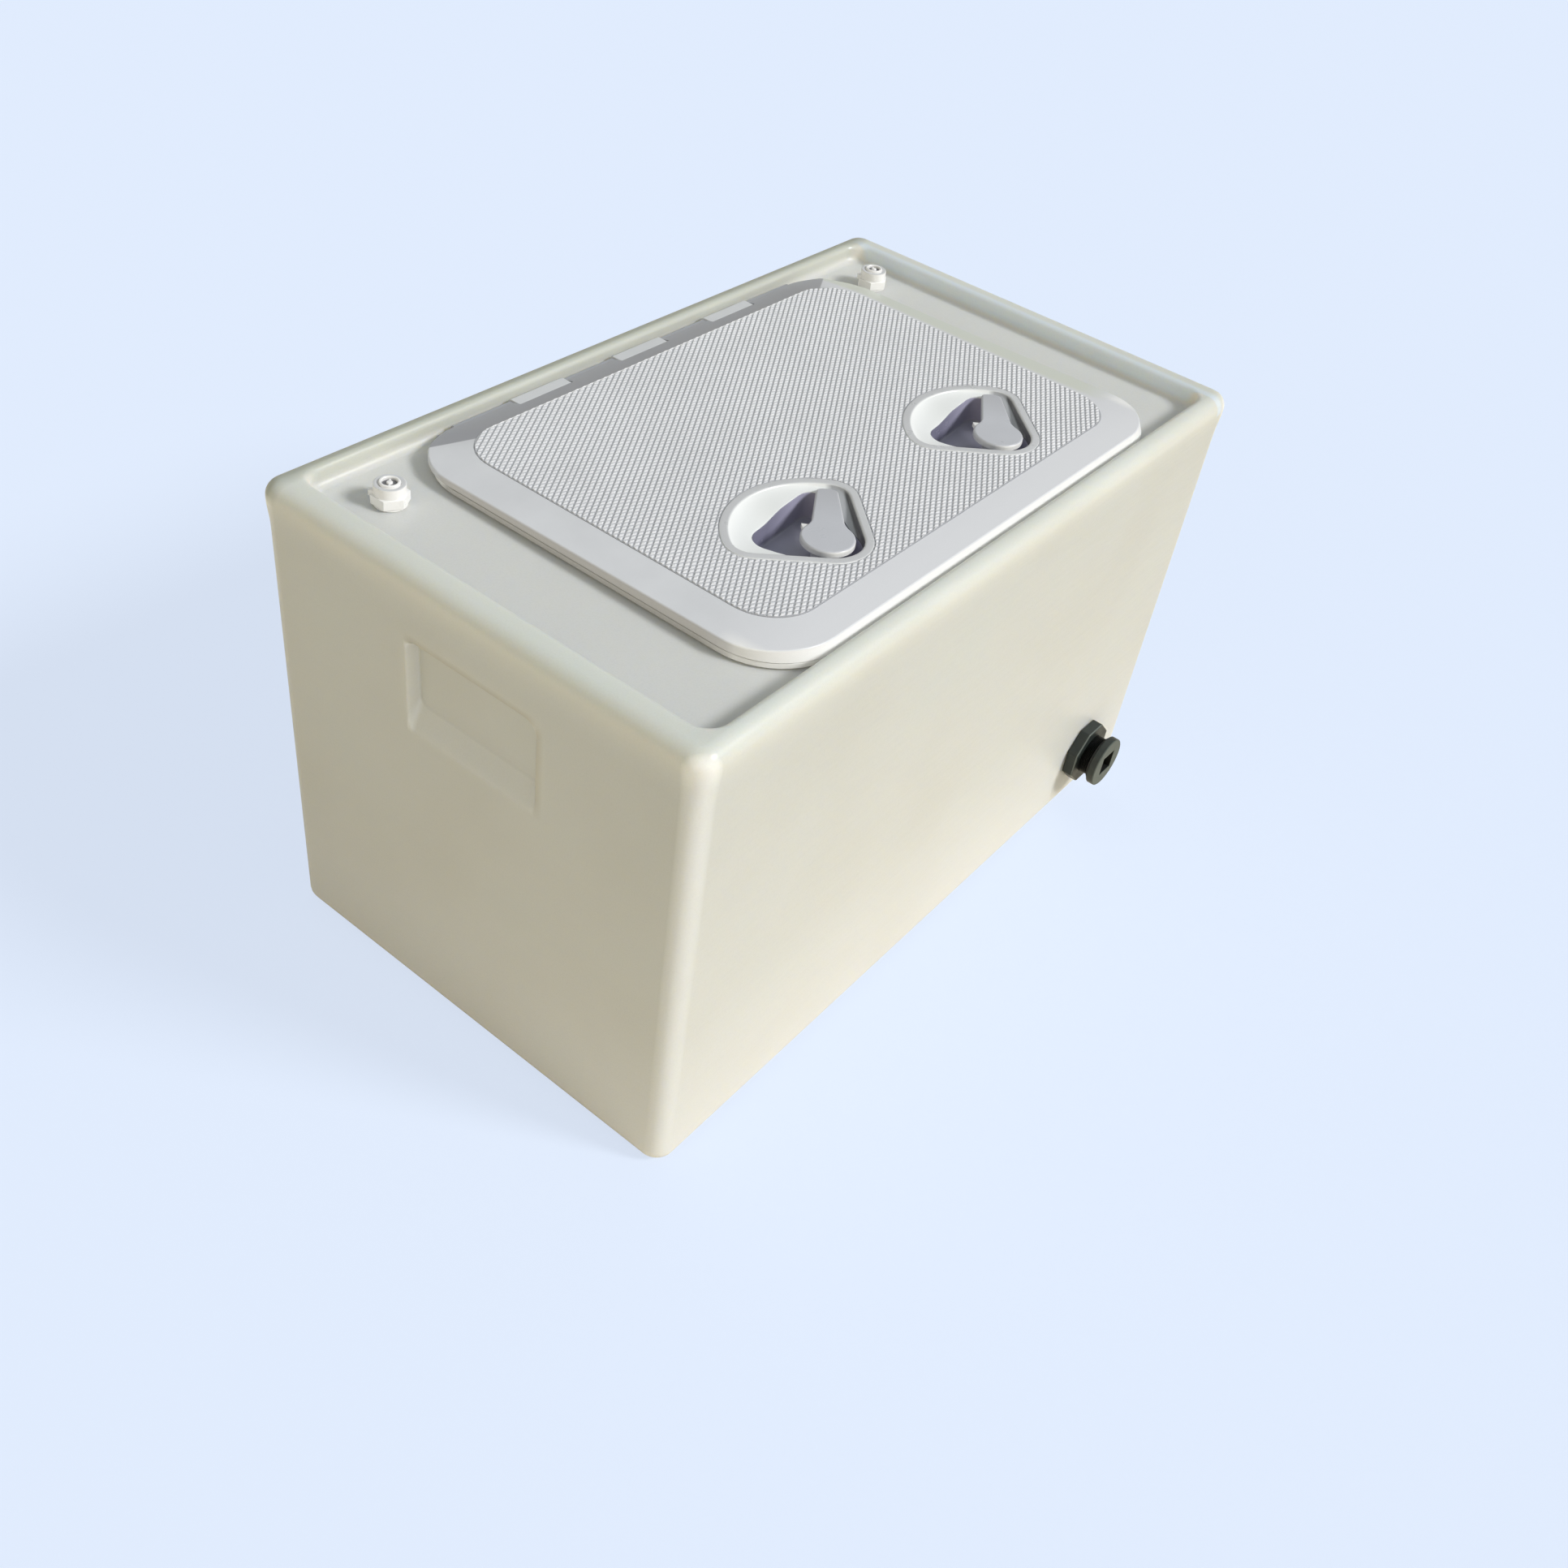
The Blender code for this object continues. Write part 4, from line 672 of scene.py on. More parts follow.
def milky_plastic(name):
    """Translucent moulded polyethylene: cream with clouds, softly rippled, paler at the foot and on the rim;
    painted highlights on the corners, painted shade on the rear rim and in the grips, and a painted cool
    reflection on the far rim.
    """
    mat, where = shade(name, Subsurface_Weight=0.45, Subsurface_Scale=0.024,
                       Subsurface_Radius=(1.0, 0.82, 0.5), IOR=1.5)
    level = ramp(mat, span(mat, height_of(mat, where), 0.0, HEIGHT),
                 [(0.0, (0.835, 0.83, 0.785)), (0.4, (0.71, 0.705, 0.65)),
                  (0.9, (0.665, 0.668, 0.62)), (0.975, (0.715, 0.722, 0.677)),
                  (1.0, (0.695, 0.728, 0.698))])
    clouds = ramp(mat, noise(mat, where, 7.0, 2.0),
                  [(0.3, (0.96, 0.95, 0.935)), (0.55, (1.0, 0.995, 0.99)), (0.75, (0.99, 1.0, 1.0))])
    specks = ramp(mat, noise(mat, where, 900.0, 2.0), [(0.3, (0.94, 0.94, 0.93)), (0.6, (1.0, 1.0, 1.0))])
    ends, quarters = fold_ends(mat, where), fold_all(mat, where)
    # Painted highlight: the vertical corners are painted paler, for light glowing through them.
    corners = [((0.7071, 0.7071, 0.0), 0.3268, 0.0022)]
    deck = [left_of(0.279, 0.0015), in_front(0.16, 0.0015), above(0.33, 0.001)]
    # Painted reflection: a cool blue band on the inner edge of the far end's rim.
    far_rim_reflection = [right_of(0.278, 0.0008), left_of(0.2845, 0.002), above(0.338, 0.001)]
    # Painted shade: the rear rim is painted darker, dimming its lit top.
    rear_rim_shade = [behind(0.16, 0.005), above(0.34, 0.003)]
    zones = [(quarters, corners, (0.97, 0.97, 0.92)), (quarters, deck, (0.765, 0.755, 0.707))]
    # Painted light and shade in the grips
    zones += [(ends, planes, tone) for planes, tone in grip_painted_light()]
    zones += [(where, far_rim_reflection, (0.7, 0.77, 0.83)), (where, rear_rim_shade, (0.43, 0.455, 0.405))]
    clouds_and_painted_light = blend_colour(mat, 1.0, level, clouds, "MULTIPLY")
    # Lay the zones' painted highlights, painted shade and painted reflection over the clouds.
    for place, planes, tone in zones:
        clouds_and_painted_light = blend_colour(mat, zone_mask(mat, place, planes), clouds_and_painted_light, tone)
    scuffs = noise(mat, where, 60.0, 4.0, 0.7, stretch=(0.4, 0.4, 6.0))
    ripples = noise(mat, where, 70.0, 4.0, 0.7, stretch=(0.3, 0.3, 8.0))
    dress(mat, Base_Color=blend_colour(mat, 0.5, clouds_and_painted_light, specks, "MULTIPLY"),
          Roughness=span(mat, scuffs, 0.35, 0.7, 0.28, 0.46),
          Normal=relief(mat, [(noise(mat, where, 9.0, 1.0), 0.25, 0.004),
                              (noise(mat, where, 420.0, 2.0), 0.1, 0.0002), (ripples, 0.05, 0.0003)]))
    return mat


def moulded_plastic(name, colour, roughness, grain=0.12, drift=0.04, zones=(), index=1.49):
    """Opaque moulded plastic with faint clouds and marks. A zone is (planes, colour, roughness)."""
    mat, where = shade(name, IOR=index)
    low = tuple(c * (1.0 - drift) for c in colour)
    high = tuple(min(c * (1.0 + drift), 0.94) for c in colour)
    clouds = ramp(mat, noise(mat, where, 22.0, 3.0), [(0.3, low), (0.7, high)])
    marks = noise(mat, where, 90.0, 3.0, 0.6)
    gloss = span(mat, marks, 0.35, 0.7, roughness - 0.03, roughness + 0.05)
    for planes, tone, smoothness in zones:
        mask = zone_mask(mat, where, planes)
        clouds = blend_colour(mat, mask, clouds, tone)
        gloss = compute(mat, "Mix", {0: mask, 2: gloss, 3: smoothness}, 0, data_type="FLOAT")
    specks = ramp(mat, noise(mat, where, 2600.0, 1.0), [(0.35, (0.94, 0.94, 0.94)), (0.6, (1.0, 1.0, 1.0))])
    bumps = [(noise(mat, where, 1500.0, 2.0), grain, 0.00005), (marks, grain * 0.3, 0.0001)]
    dress(mat, Base_Color=blend_colour(mat, 0.5, clouds, specks, "MULTIPLY"), Roughness=gloss,
          Normal=relief(mat, bumps))
    return mat


def brushed_steel(name):
    mat, where = shade(name, Metallic=1.0)
    brushed = noise(mat, where, 900.0, 3.0, 0.6, stretch=(0.05, 1.0, 1.0))
    tones = ramp(mat, brushed, [(0.3, (0.5, 0.5, 0.51)), (0.7, (0.64, 0.64, 0.65))])
    dress(mat, Base_Color=tones, Roughness=span(mat, brushed, 0.3, 0.7, 0.18, 0.36),
          Normal=relief(mat, [(brushed, 0.08, 0.00005)]))
    return mat


def latch_finishes(side, x):
    """A handle with a painted highlight along its lit side, a dish with a painted highlight on its open slope
    and painted shade on its steep wall and by the ring, and a violet-grey cup painted dark for the shade in
    the bowl.
    """
    lit_side, wall, tail = (0.6, -0.8, 0.0), (0.738, -0.674, 0.0), (0.777, 0.629, 0.0)
    lit_side_at, wall_at, tail_at = (line[0] * x + line[1] * LATCH_Y for line in (lit_side, wall, tail))
    FINISHES[f"handle_{side}"] = moulded_plastic(
        f"latch_handle_plastic_{side}", (0.58, 0.595, 0.645), 0.3, 0.05,
        zones=[([(tail, tail_at + 0.034, 0.018)], (0.5, 0.51, 0.55), 0.3),
               # Painted highlight: the handle's lower edge on its lit side is painted pale.
               ([below(0.3504, 0.0004), (lit_side, lit_side_at, 0.004)], (0.93, 0.93, 0.92), 0.26)])
    FINISHES[f"dish_{side}"] = moulded_plastic(
        f"latch_dish_plastic_{side}", (0.62, 0.63, 0.655), 0.3, 0.05,
        # Painted highlight: the open slope is painted near white.
        zones=[([below(0.35085, 0.0003)], (0.88, 0.9, 0.905), 0.28),
               # Painted shade: the steep wall behind the handle is painted grey, the groove by the ring near
               # black.
               ([below(0.3507, 0.0003), (wall, wall_at + 0.0108, 0.0022)], (0.42, 0.43, 0.45), 0.24),
               ([below(0.35, 0.0004), (wall, wall_at + 0.0204, 0.0006)], (0.12, 0.12, 0.13), 0.24)])
    # Painted shade: the deep cup is painted dark violet-grey for the shade in the bowl; one side and its
    # floor are painted lighter where some light reaches.
    FINISHES[f"cup_{side}"] = moulded_plastic(
        f"latch_cup_painted_shade_{side}", (0.22, 0.215, 0.3), 0.24, 0.05, 0.1,
        zones=[([right_of(x + 0.006, 0.014)], (0.4, 0.39, 0.52), 0.24),
               ([below(0.3315, 0.0006)], (0.38, 0.38, 0.47), 0.24)])


def make_finishes():
    """Make every finish. The lid, the tread, the frame and the drain have zones of painted light and shade:
    painted highlights where light falls, and painted shade on their shaded sides.
    """
    mitre = MITRE_Y - MITRE_SLOPE * MITRE_X
    rear = [((MITRE_SLOPE, 1.0, 0.0), mitre + MITRE_SLOPE * HATCH_X, 0.0006),
            ((-MITRE_SLOPE, 1.0, 0.0), mitre - MITRE_SLOPE * HATCH_X, 0.0006)]
    shaded_end = [left_of(HATCH_X + 0.001 - HATCH_LENGTH / 2, 0.0006), behind(-0.118, 0.022)]
    lip = below(0.3488, 0.0003)
    half = SOCKET / 2 + 0.0003
    # Painted shade: the plug's socket is painted near black, darker than the plug itself.
    socket = [right_of(DRAIN_X - half, 0.0001), left_of(DRAIN_X + half, 0.0001),
              above(DRAIN_Z - half, 0.0001), below(DRAIN_Z + half, 0.0001),
              behind(DRAIN_WALL - 0.0259, 0.0002)]
    # Painted highlight: a pale band round the nut's bevel near its outer face.
    nut_edge_highlight = [in_front(DRAIN_WALL - 0.0087, 0.0002), behind(DRAIN_WALL - 0.0096, 0.0002)]
    # Painted light: the front of the border, facing the window, is painted paler.
    lid_zones = [([in_front(-0.115, 0.03)], (0.785, 0.795, 0.835), 0.34),
                 # Painted highlight: the lip along the front is painted white.
                 ([lip, in_front(-0.115, 0.008)], (0.94, 0.94, 0.94), 0.34),
                 ([lip, *shaded_end], (0.62, 0.61, 0.61), 0.34),
                 # Painted reflection: the lid's right end is painted in the deck's greenish grey.
                 ([right_of(0.206, 0.003), behind(-0.105, 0.012)], (0.67, 0.7, 0.64), 0.3),
                 # Painted shade: the rear strip behind the mitre lines, sloping away from the window, is
                 # painted dark grey.
                 (rear, (0.37, 0.38, 0.42), 0.3)]
    # Painted shade: the feet of the diamonds are painted darker, in the grooves between them.
    groove_shade = below(PAD_TOP - TREAD_RELIEF + 0.0003, 0.00025)
    tread_zones = [([groove_shade], (0.42, 0.43, 0.46), 0.6),
                   # Painted highlight: the pad's rear edge is painted pale.
                   ([behind(0.1293, 0.0003)], (0.9, 0.91, 0.93), 0.4)]
    barrel_top = [([above(0.3513, 0.0003)], (0.66, 0.67, 0.69), 0.3)]
    plug_zones = [([in_front(DRAIN_WALL - 0.0256, 0.0003)], (0.085, 0.105, 0.096), 0.42),
                  (socket, (0.004, 0.005, 0.004), 0.8)]
    # Name in this script, name of the material, colour, roughness, grain, drift, zones, index
    plastics = (
        ("lid", "lid_grey_plastic", (0.72, 0.735, 0.775), 0.34, 0.12, 0.04, lid_zones),
        ("hinge", "hinge_light_plastic", (0.66, 0.675, 0.7), 0.36),
        ("tread", "tread_grey_plastic", (0.82, 0.83, 0.865), 0.4, 0.1, 0.04, tread_zones),
        ("frame", "frame_light_plastic", (0.91, 0.91, 0.91), 0.42, 0.12, 0.04,
         [(shaded_end, (0.55, 0.54, 0.53), 0.42)]),
        ("white", "port_white_plastic", (0.93, 0.93, 0.93), 0.3, 0.08, 0.01),
        ("barrel", "port_barrel_plastic", (0.93, 0.93, 0.93), 0.3, 0.08, 0.01, barrel_top),
        ("gasket", "gasket_pale_foam", (0.62, 0.61, 0.56), 0.6, 0.25, 0.06),
        ("black", "drain_black_plastic", (0.022, 0.028, 0.027), 0.38, 0.25, 0.2,
         [(nut_edge_highlight, (0.13, 0.15, 0.14), 0.3)], 1.42),
        ("plug", "drain_plug_plastic", (0.026, 0.032, 0.031), 0.38, 0.25, 0.2, plug_zones, 1.4),
        ("thread", "drain_thread_plastic", (0.003, 0.004, 0.004), 0.45, 0.2, 0.2, (), 1.25),
        ("dark", "port_inner_plastic", (0.16, 0.16, 0.17), 0.4, 0.1, 0.1),
        ("rubber", "seal_black_rubber", (0.022, 0.022, 0.023), 0.7, 0.25, 0.15))
    FINISHES["tank"] = milky_plastic("milky_polyethylene")
    for look, *values in plastics:
        FINISHES[look] = moulded_plastic(*values)
    for side, x in zip(("left", "right"), LATCH_X):
        latch_finishes(side, x)
    FINISHES["steel"] = brushed_steel("brushed_steel")


# ---- tank
def quarter(radius, steps):
    """Points round a quarter circle, each by its distances from the circle's two tangents."""
    turns = [math.pi / 2 * i / steps for i in range(steps + 1)]
    return [(radius * (1 - math.sin(turn)), radius * (1 - math.cos(turn))) for turn in turns]


def wall_inset(z):
    return RIM_STEP + DRAFT * (1 - z / RIM_FOOT)


def tank_outline(inset, z, corner=TANK_CORNER):
    half_x, half_y = LENGTH / 2 - inset, WIDTH / 2 - inset
    return rectangle(-half_x, half_x, -half_y, half_y, max(corner, SHARPEST_CORNER), z)


def rim_outline(outward, z):
    half_x, half_y = LENGTH / 2 - RIM_END + outward, WIDTH / 2 - RIM_SIDE + outward
    return rectangle(-half_x, half_x, -half_y, half_y, RIM_INNER_CORNER + outward, z)


def hatch_outline(length, width, corner, outward, z):
    half_x, half_y = length / 2 + outward, width / 2 + outward
    return rectangle(HATCH_X - half_x, HATCH_X + half_x, -half_y, half_y, corner + outward, z)


def neck_outline(outward, z):
    return hatch_outline(NECK_LENGTH, NECK_WIDTH, NECK_CORNER, outward, z)


def pad_outline(outward, z):
    return hatch_outline(PAD_LENGTH, PAD_WIDTH, PAD_CORNER, outward, z)


def lid_outline(outward, z, rear=HINGE_Y):
    half_x = HATCH_LENGTH / 2 + outward
    return rectangle(HATCH_X - half_x, HATCH_X + half_x, HATCH_FRONT - outward, rear + outward,
                     HATCH_CORNER + outward, z)


def grip_outline(side, depth, inset, foot):
    x = side * (LENGTH / 2 - wall_inset(GRIP_Z) - depth)
    half = GRIP_WIDTH / 2 - inset
    return upright(x, GRIP_Y - half, GRIP_Y + half, GRIP_Z - GRIP_HEIGHT / 2 + foot,
                   GRIP_Z + GRIP_HEIGHT / 2 - inset, max(GRIP_CORNER - inset, 0.001))


def make_tank():
    """The walls from the foot up over the rim and down to the deck, then the inside down to the floor."""
    steps = [tank_outline(wall_inset(z) + inset, z, TANK_CORNER - inset)
             for inset, z in quarter(BASE_ROUND, 6)]
    steps.append(tank_outline(wall_inset(WALL_TOP), WALL_TOP))
    steps += [tank_outline(RIM_STEP * share, z) for share, z in RIM_SWELL]
    steps += [tank_outline(inset, HEIGHT - drop, TANK_CORNER - inset)
              for drop, inset in quarter(RIM_OUTER_ROUND, 8)]
    steps += [rim_outline(outward, HEIGHT - drop) for outward, drop in quarter(RIM_INNER_ROUND, 5)]
    steps += [rim_outline(-inset, DECK + rise) for rise, inset in quarter(DECK_COVE, 5)]
    steps += rows(neck_outline, (OPENING_GAP + OPENING_EDGE, DECK), (OPENING_GAP, DECK - OPENING_EDGE),
                  (OPENING_GAP, DECK_UNDER))
    inner = TANK_CORNER - WALL
    steps.append(tank_outline(wall_inset(DECK_UNDER) + WALL, DECK_UNDER, inner))
    for rise, inset in quarter(FLOOR_ROUND, 4):
        z = WALL + rise
        steps.append(tank_outline(wall_inset(z) + WALL + inset, z, inner - inset))
    tank = shell("tank_moulding", steps)
    for side in (-1, 1):
        fuse(tank, shell("grip_boss", rows(grip_outline, (side, WALL / 2, -WALL, -WALL),
                                           (side, GRIP_DEPTH + WALL, GRIP_SIDE_SLOPE - WALL,
                                            GRIP_FOOT_SLOPE - WALL))))
    for side in (-1, 1):
        cut(tank, shell("grip_cutter", [grip_outline(side, *step) for step in GRIP_STEPS]))
    for x, y in PORT_PLACES.values():
        cut(tank, bar("port_hole", ROUND, PORT_HOLE, -0.01, 0.01, (x, y, DECK)))
    cut(tank, bar("drain_hole", WIDE_ROUND, DRAIN_BORE, -0.01, 0.008, DRAIN_PLACE, "Y"))
    finish(tank, "tank", "tank_shell", "tank")


# ---- hatch
def knuckle_places():
    return [HATCH_X + i * KNUCKLE_PITCH for i in (-1, 0, 1)]


def screw_places():
    front = (HATCH_FRONT - NECK_WIDTH / 2) / 2
    rear = (FLANGE_REAR + NECK_WIDTH / 2) / 2
    end = (HATCH_LENGTH + NECK_LENGTH) / 4
    places = [(HATCH_X + share * SCREW_SPAN_X, y) for y in (front, rear) for share in (-0.5, 0.0, 0.5)]
    return places + [(HATCH_X + x, share * SCREW_SPAN_Y) for x in (-end, end) for share in (-0.5, 0.5)]


def make_frame():
    """The flange with its neck through the deck and its upstand, and three knuckles on its rear edge."""
    edge, top = FLANGE_ROUND, UPSTAND_TOP - UPSTAND_ROUND
    steps = rows(lid_outline, (0.0, FLANGE_FOOT, FLANGE_REAR), (0.0, FLANGE_TOP - edge, FLANGE_REAR),
                 (-edge * 0.3, FLANGE_TOP - edge * 0.3, FLANGE_REAR), (-edge, FLANGE_TOP, FLANGE_REAR))
    steps += rows(neck_outline, (NECK_FILLET, FLANGE_TOP), (0.0, FLANGE_TOP + NECK_FILLET), (0.0, top),
                  (-UPSTAND_ROUND, UPSTAND_TOP), (-NECK_WALL + UPSTAND_ROUND, UPSTAND_TOP),
                  (-NECK_WALL, top), (-NECK_WALL, NECK_FOOT), (0.0, NECK_FOOT), (0.0, FLANGE_FOOT))
    flange = shell("hatch_flange", steps, closed=True)
    finish(flange, "tank", "hatch_frame", "frame")
    front, rear, top = HINGE_Y - 0.0075, HINGE_Y + KNUCKLE_ROUND, HINGE_Z + KNUCKLE_ROUND
    foot = FLANGE_FOOT + 0.0003
    knuckle = block("hinge_knuckle_1", (knuckle_places()[0], (front + rear) / 2, (foot + top) / 2),
                    (KNUCKLE_LENGTH, rear - front, top - foot))
    edit(knuckle)
    select("EDGE", lambda e: all(v.co.y > rear - 1e-5 and v.co.z > top - 1e-5 for v in e.verts))
    bevel(0.0034, 8)
    crease = math.radians(40)
    select("EDGE", lambda e: e.calc_length() > 1e-6 and e.is_manifold and e.calc_face_angle(0.0) > crease)
    bevel(0.0006, 3)
    knuckles = [knuckle]
    for number in (2, 3):
        knuckles.append(copy_piece(knuckle, f"hinge_knuckle_{number}", ((number - 1) * KNUCKLE_PITCH, 0, 0)))
    for piece in knuckles:
        finish(piece, "tank", "hatch_frame", "hinge")


def make_screws():
    """A round head with a cross recess, copied to every place on the flange."""
    places = screw_places()
    x0, y0 = places[0]
    low = FLANGE_TOP + 0.0003
    profile = [(radius, low + height) for radius, height in SCREW_HEAD]
    first = turned("frame_screw_head_01", profile, (x0, y0, 0.0), steps=24)
    for turn in (0.0, math.pi / 2):
        cut(first, block("slot", (x0, y0, low + SCREW_SLOT[2]), SCREW_SLOT, turn=turn))
    copies = [first]
    for number, (x, y) in enumerate(places[1:], 2):
        copies.append(copy_piece(first, f"frame_screw_head_{number:02d}", (x - x0, y - y0, 0)))
    for number, piece in enumerate(copies, 1):
        finish(piece, "tank", f"frame_screw_{number:02d}", "steel")


def shape_lip(lid):
    """Lower the lid's rear edge and its two ends, and lean the lip back along the front."""
    edit(lid)
    for vert in sculpt().verts:
        if LIP_TOP - LIP_ROUND - 1e-6 < vert.co.z < LIP_TOP + 1e-6:
            away = abs(vert.co.x - HATCH_X)
            share = ease(vert.co.y - MITRE_Y - MITRE_SLOPE * (away - MITRE_X), -0.02, 0.036)
            end = ease(away, 0.172, 0.04) * ease(vert.co.y, -0.15, 0.1)
            end *= LEFT_DROP if vert.co.x < HATCH_X else RIGHT_DROP
            vert.co.z -= max(REAR_DROP * share * share * (3 - 2 * share), end)
            vert.co.y += LIP_SLOPE * ease(-vert.co.y, 0.105, 0.04)
    update()
    object_mode()


def make_lid():
    """A panel with an upright lip, a seal rib below, a hinge bead, and room for knuckles and latches."""
    base = PAD_TOP - TREAD_RELIEF - TREAD_SKIN
    steps = rows(pad_outline, (-0.001, base), (0.0, base), (0.0001, BORDER_TOP))
    steps += [lid_outline(-inset, LIP_TOP - drop) for inset, drop in quarter(LIP_ROUND, 4)]
    steps += rows(lid_outline, (0.0, LID_FOOT + LID_FOOT_ROUND), (-LID_FOOT_ROUND, LID_FOOT),
                  (-LID_WALL, LID_FOOT), (-0.003, BORDER_EDGE - LID_WALL))
    rib_out, rib_in, rib_foot = SEAL_OUTER + 0.0023, SEAL_OUTER + 0.0003, LID_UNDER - SEAL_DEPTH
    steps += rows(neck_outline, (SEAL_OUTER + 0.0083, LID_UNDER - 0.0006), (rib_out, LID_UNDER),
                  (rib_out, rib_foot), (rib_in, rib_foot), (rib_in, LID_UNDER))
    lid = shell("hatch_lid_panel", steps)
    shape_lip(lid)
    straight = HATCH_LENGTH - 2 * HATCH_CORNER
    bead = bar("bead", 24, BEAD, -straight / 2, straight / 2, (0, 0, 0))
    edit(bead)
    select_all()
    bpy.ops.transform.rotate(value=math.pi / 2, orient_axis="Y", center_override=(0, 0, 0))
    bpy.ops.transform.translate(value=(HATCH_X, HINGE_Y, HINGE_Z))
    fuse(lid, bead)
    front, rear = HINGE_Y - NOTCH_FRONT, HATCH_WIDTH / 2 + 0.003
    for x in knuckle_places():
        cut(lid, block("notch", (x, (front + rear) / 2, 0.346), (NOTCH_LENGTH, rear - front, 0.018)))
    for x in LATCH_X:
        for outward, low, high in ((LATCH_RING + 0.0003, 0.3489, 0.356), (0.0023, 0.34, 0.3492)):
            cut(lid, shell("latch_room", rows(latch_outline, (x, outward, low), (x, outward, high))))
    finish(lid, "lid", "hatch_lid", "lid")


def in_pad(x, y, margin):
    """Whether a point is inside the pad's outline, moved inwards by the margin."""
    dx = abs(x - HATCH_X) - PAD_LENGTH / 2 + PAD_CORNER
    dy = abs(y) - PAD_WIDTH / 2 + PAD_CORNER
    return math.hypot(max(dx, 0.0), max(dy, 0.0)) < PAD_CORNER - margin


def in_latch(x, y, outward):
    """Whether a point is inside a latch ring's outline, moved outwards."""
    for place in LATCH_X:
        dx, dy = x - place, y - LATCH_Y - LATCH_MIDDLE
        if math.hypot(dx, dy) < mouth_reach(math.atan2(dy, dx), outward):
            return True
    return False


def in_field(vert, margin):
    """Whether a point of the tread is in the field, moved inwards by the margin."""
    x, y = vert.co.x, vert.co.y
    return in_pad(x, y, margin) and not in_latch(x, y, LATCH_RING + margin)


def field_block(name, inset, low, high):
    """The tread's field as a solid: the pad's outline less the two latch rings."""
    field = shell(name, rows(pad_outline, (-inset, low), (-inset, high)))
    reach = LATCH_RING + inset
    for x in LATCH_X:
        cut(field, shell("ring_room", rows(latch_outline, (x, reach, low - 0.001), (x, reach, high + 0.001))))
    return field


def make_tread():
    """One diamond, repeated over the pad. Those that cross the field's edge are cut along it."""
    foot = PAD_TOP - TREAD_RELIEF - 0.0001
    columns, lines = math.ceil(PAD_LENGTH / TREAD_LONG) + 2, math.ceil(PAD_WIDTH / TREAD_SHORT) + 2
    start = Vector((HATCH_X - columns * TREAD_LONG / 2, -lines * TREAD_SHORT / 2, foot))
    tread = new_piece("pad_tread")
    bpy.ops.mesh.primitive_circle_add(vertices=4, radius=1, fill_type="NGON", location=start)
    size = (TREAD_LONG / 2 * TREAD_FOOT_SHARE, TREAD_SHORT / 2 * TREAD_FOOT_SHARE, 1)
    bpy.ops.transform.resize(value=size, center_override=start)
    extrude((0, 0, PAD_TOP - foot))
    share = TREAD_TOP_SHARE / TREAD_FOOT_SHARE
    bpy.ops.transform.resize(value=(share, share, 1), center_override=start)
    face_outwards()
    bpy.ops.mesh.duplicate_move(TRANSFORM_OT_translate={"value": (TREAD_LONG / 2, TREAD_SHORT / 2, 0)})
    take(tread)
    for offset, count in (((TREAD_LONG, 0, 0), columns), ((0, TREAD_SHORT, 0), lines)):
        modify(tread, "ARRAY", use_relative_offset=False, use_constant_offset=True,
               constant_offset_displace=offset, count=count)
    edit(tread)
    verts, crossing = list(sculpt().verts), set()
    for first in range(0, len(verts), DIAMOND_POINTS):
        diamond = verts[first:first + DIAMOND_POINTS]
        near = any(in_field(vert, TREAD_MARGIN - TREAD_REACH) for vert in diamond)
        if near and not all(in_field(vert, TREAD_MARGIN + TREAD_REACH) for vert in diamond):
            crossing.update(vert.index for vert in diamond)
    select("VERT", lambda vert: vert.index in crossing)
    bpy.ops.mesh.separate(type="SELECTED")
    select("VERT", lambda vert: not in_field(vert, TREAD_MARGIN))
    bpy.ops.mesh.delete(type="VERT")
    edge = next(ob for ob in bpy.context.selected_objects if ob != tread)
    combine(edge, field_block("field", TREAD_MARGIN, foot - 0.001, PAD_TOP + 0.001), "INTERSECT")
    skin = field_block("skin", 0.0001, foot - TREAD_SKIN, foot + 0.0002)
    join([tread, edge, skin])
    finish(tread, "lid", "hatch_lid", "tread", TREAD_SMOOTH_ANGLE)


# ---- latches
def disc_reach(discs, angle):
    """How far a direction runs from the latch's middle before it leaves the hull round the discs."""
    direction = Vector((math.cos(angle), math.sin(angle)))
    best = 0.0
    for x, y, radius in discs:
        centre = Vector((x, y - LATCH_MIDDLE))
        across = direction.x * centre.y - direction.y * centre.x
        if abs(across) < radius:
            best = max(best, centre.dot(direction) + math.sqrt(radius ** 2 - across ** 2))
    for x1, y1, r1 in discs:
        for x2, y2, r2 in discs:
            first, second = Vector((x1, y1 - LATCH_MIDDLE)), Vector((x2, y2 - LATCH_MIDDLE))
            best = max(best, tangent_reach(first, r1, second, r2, direction))
    return best


def tangent_reach(first, r1, second, r2, direction):
    """Where a direction from the latch's middle meets the outer tangent of two discs."""
    line = second - first
    if line.length <= abs(r1 - r2):
        return 0.0
    turn = math.atan2(line.y, line.x) - math.pi / 2 + math.asin((r1 - r2) / line.length)
    normal = Vector((math.cos(turn), math.sin(turn)))
    side = normal.dot(direction)
    if side <= 0:
        return 0.0
    start, end = first + normal * r1, second + normal * r2
    reach = normal.dot(start) / side
    along = (direction * reach - start).dot(end - start)
    return reach if 0 <= along <= (end - start).length_squared else 0.0


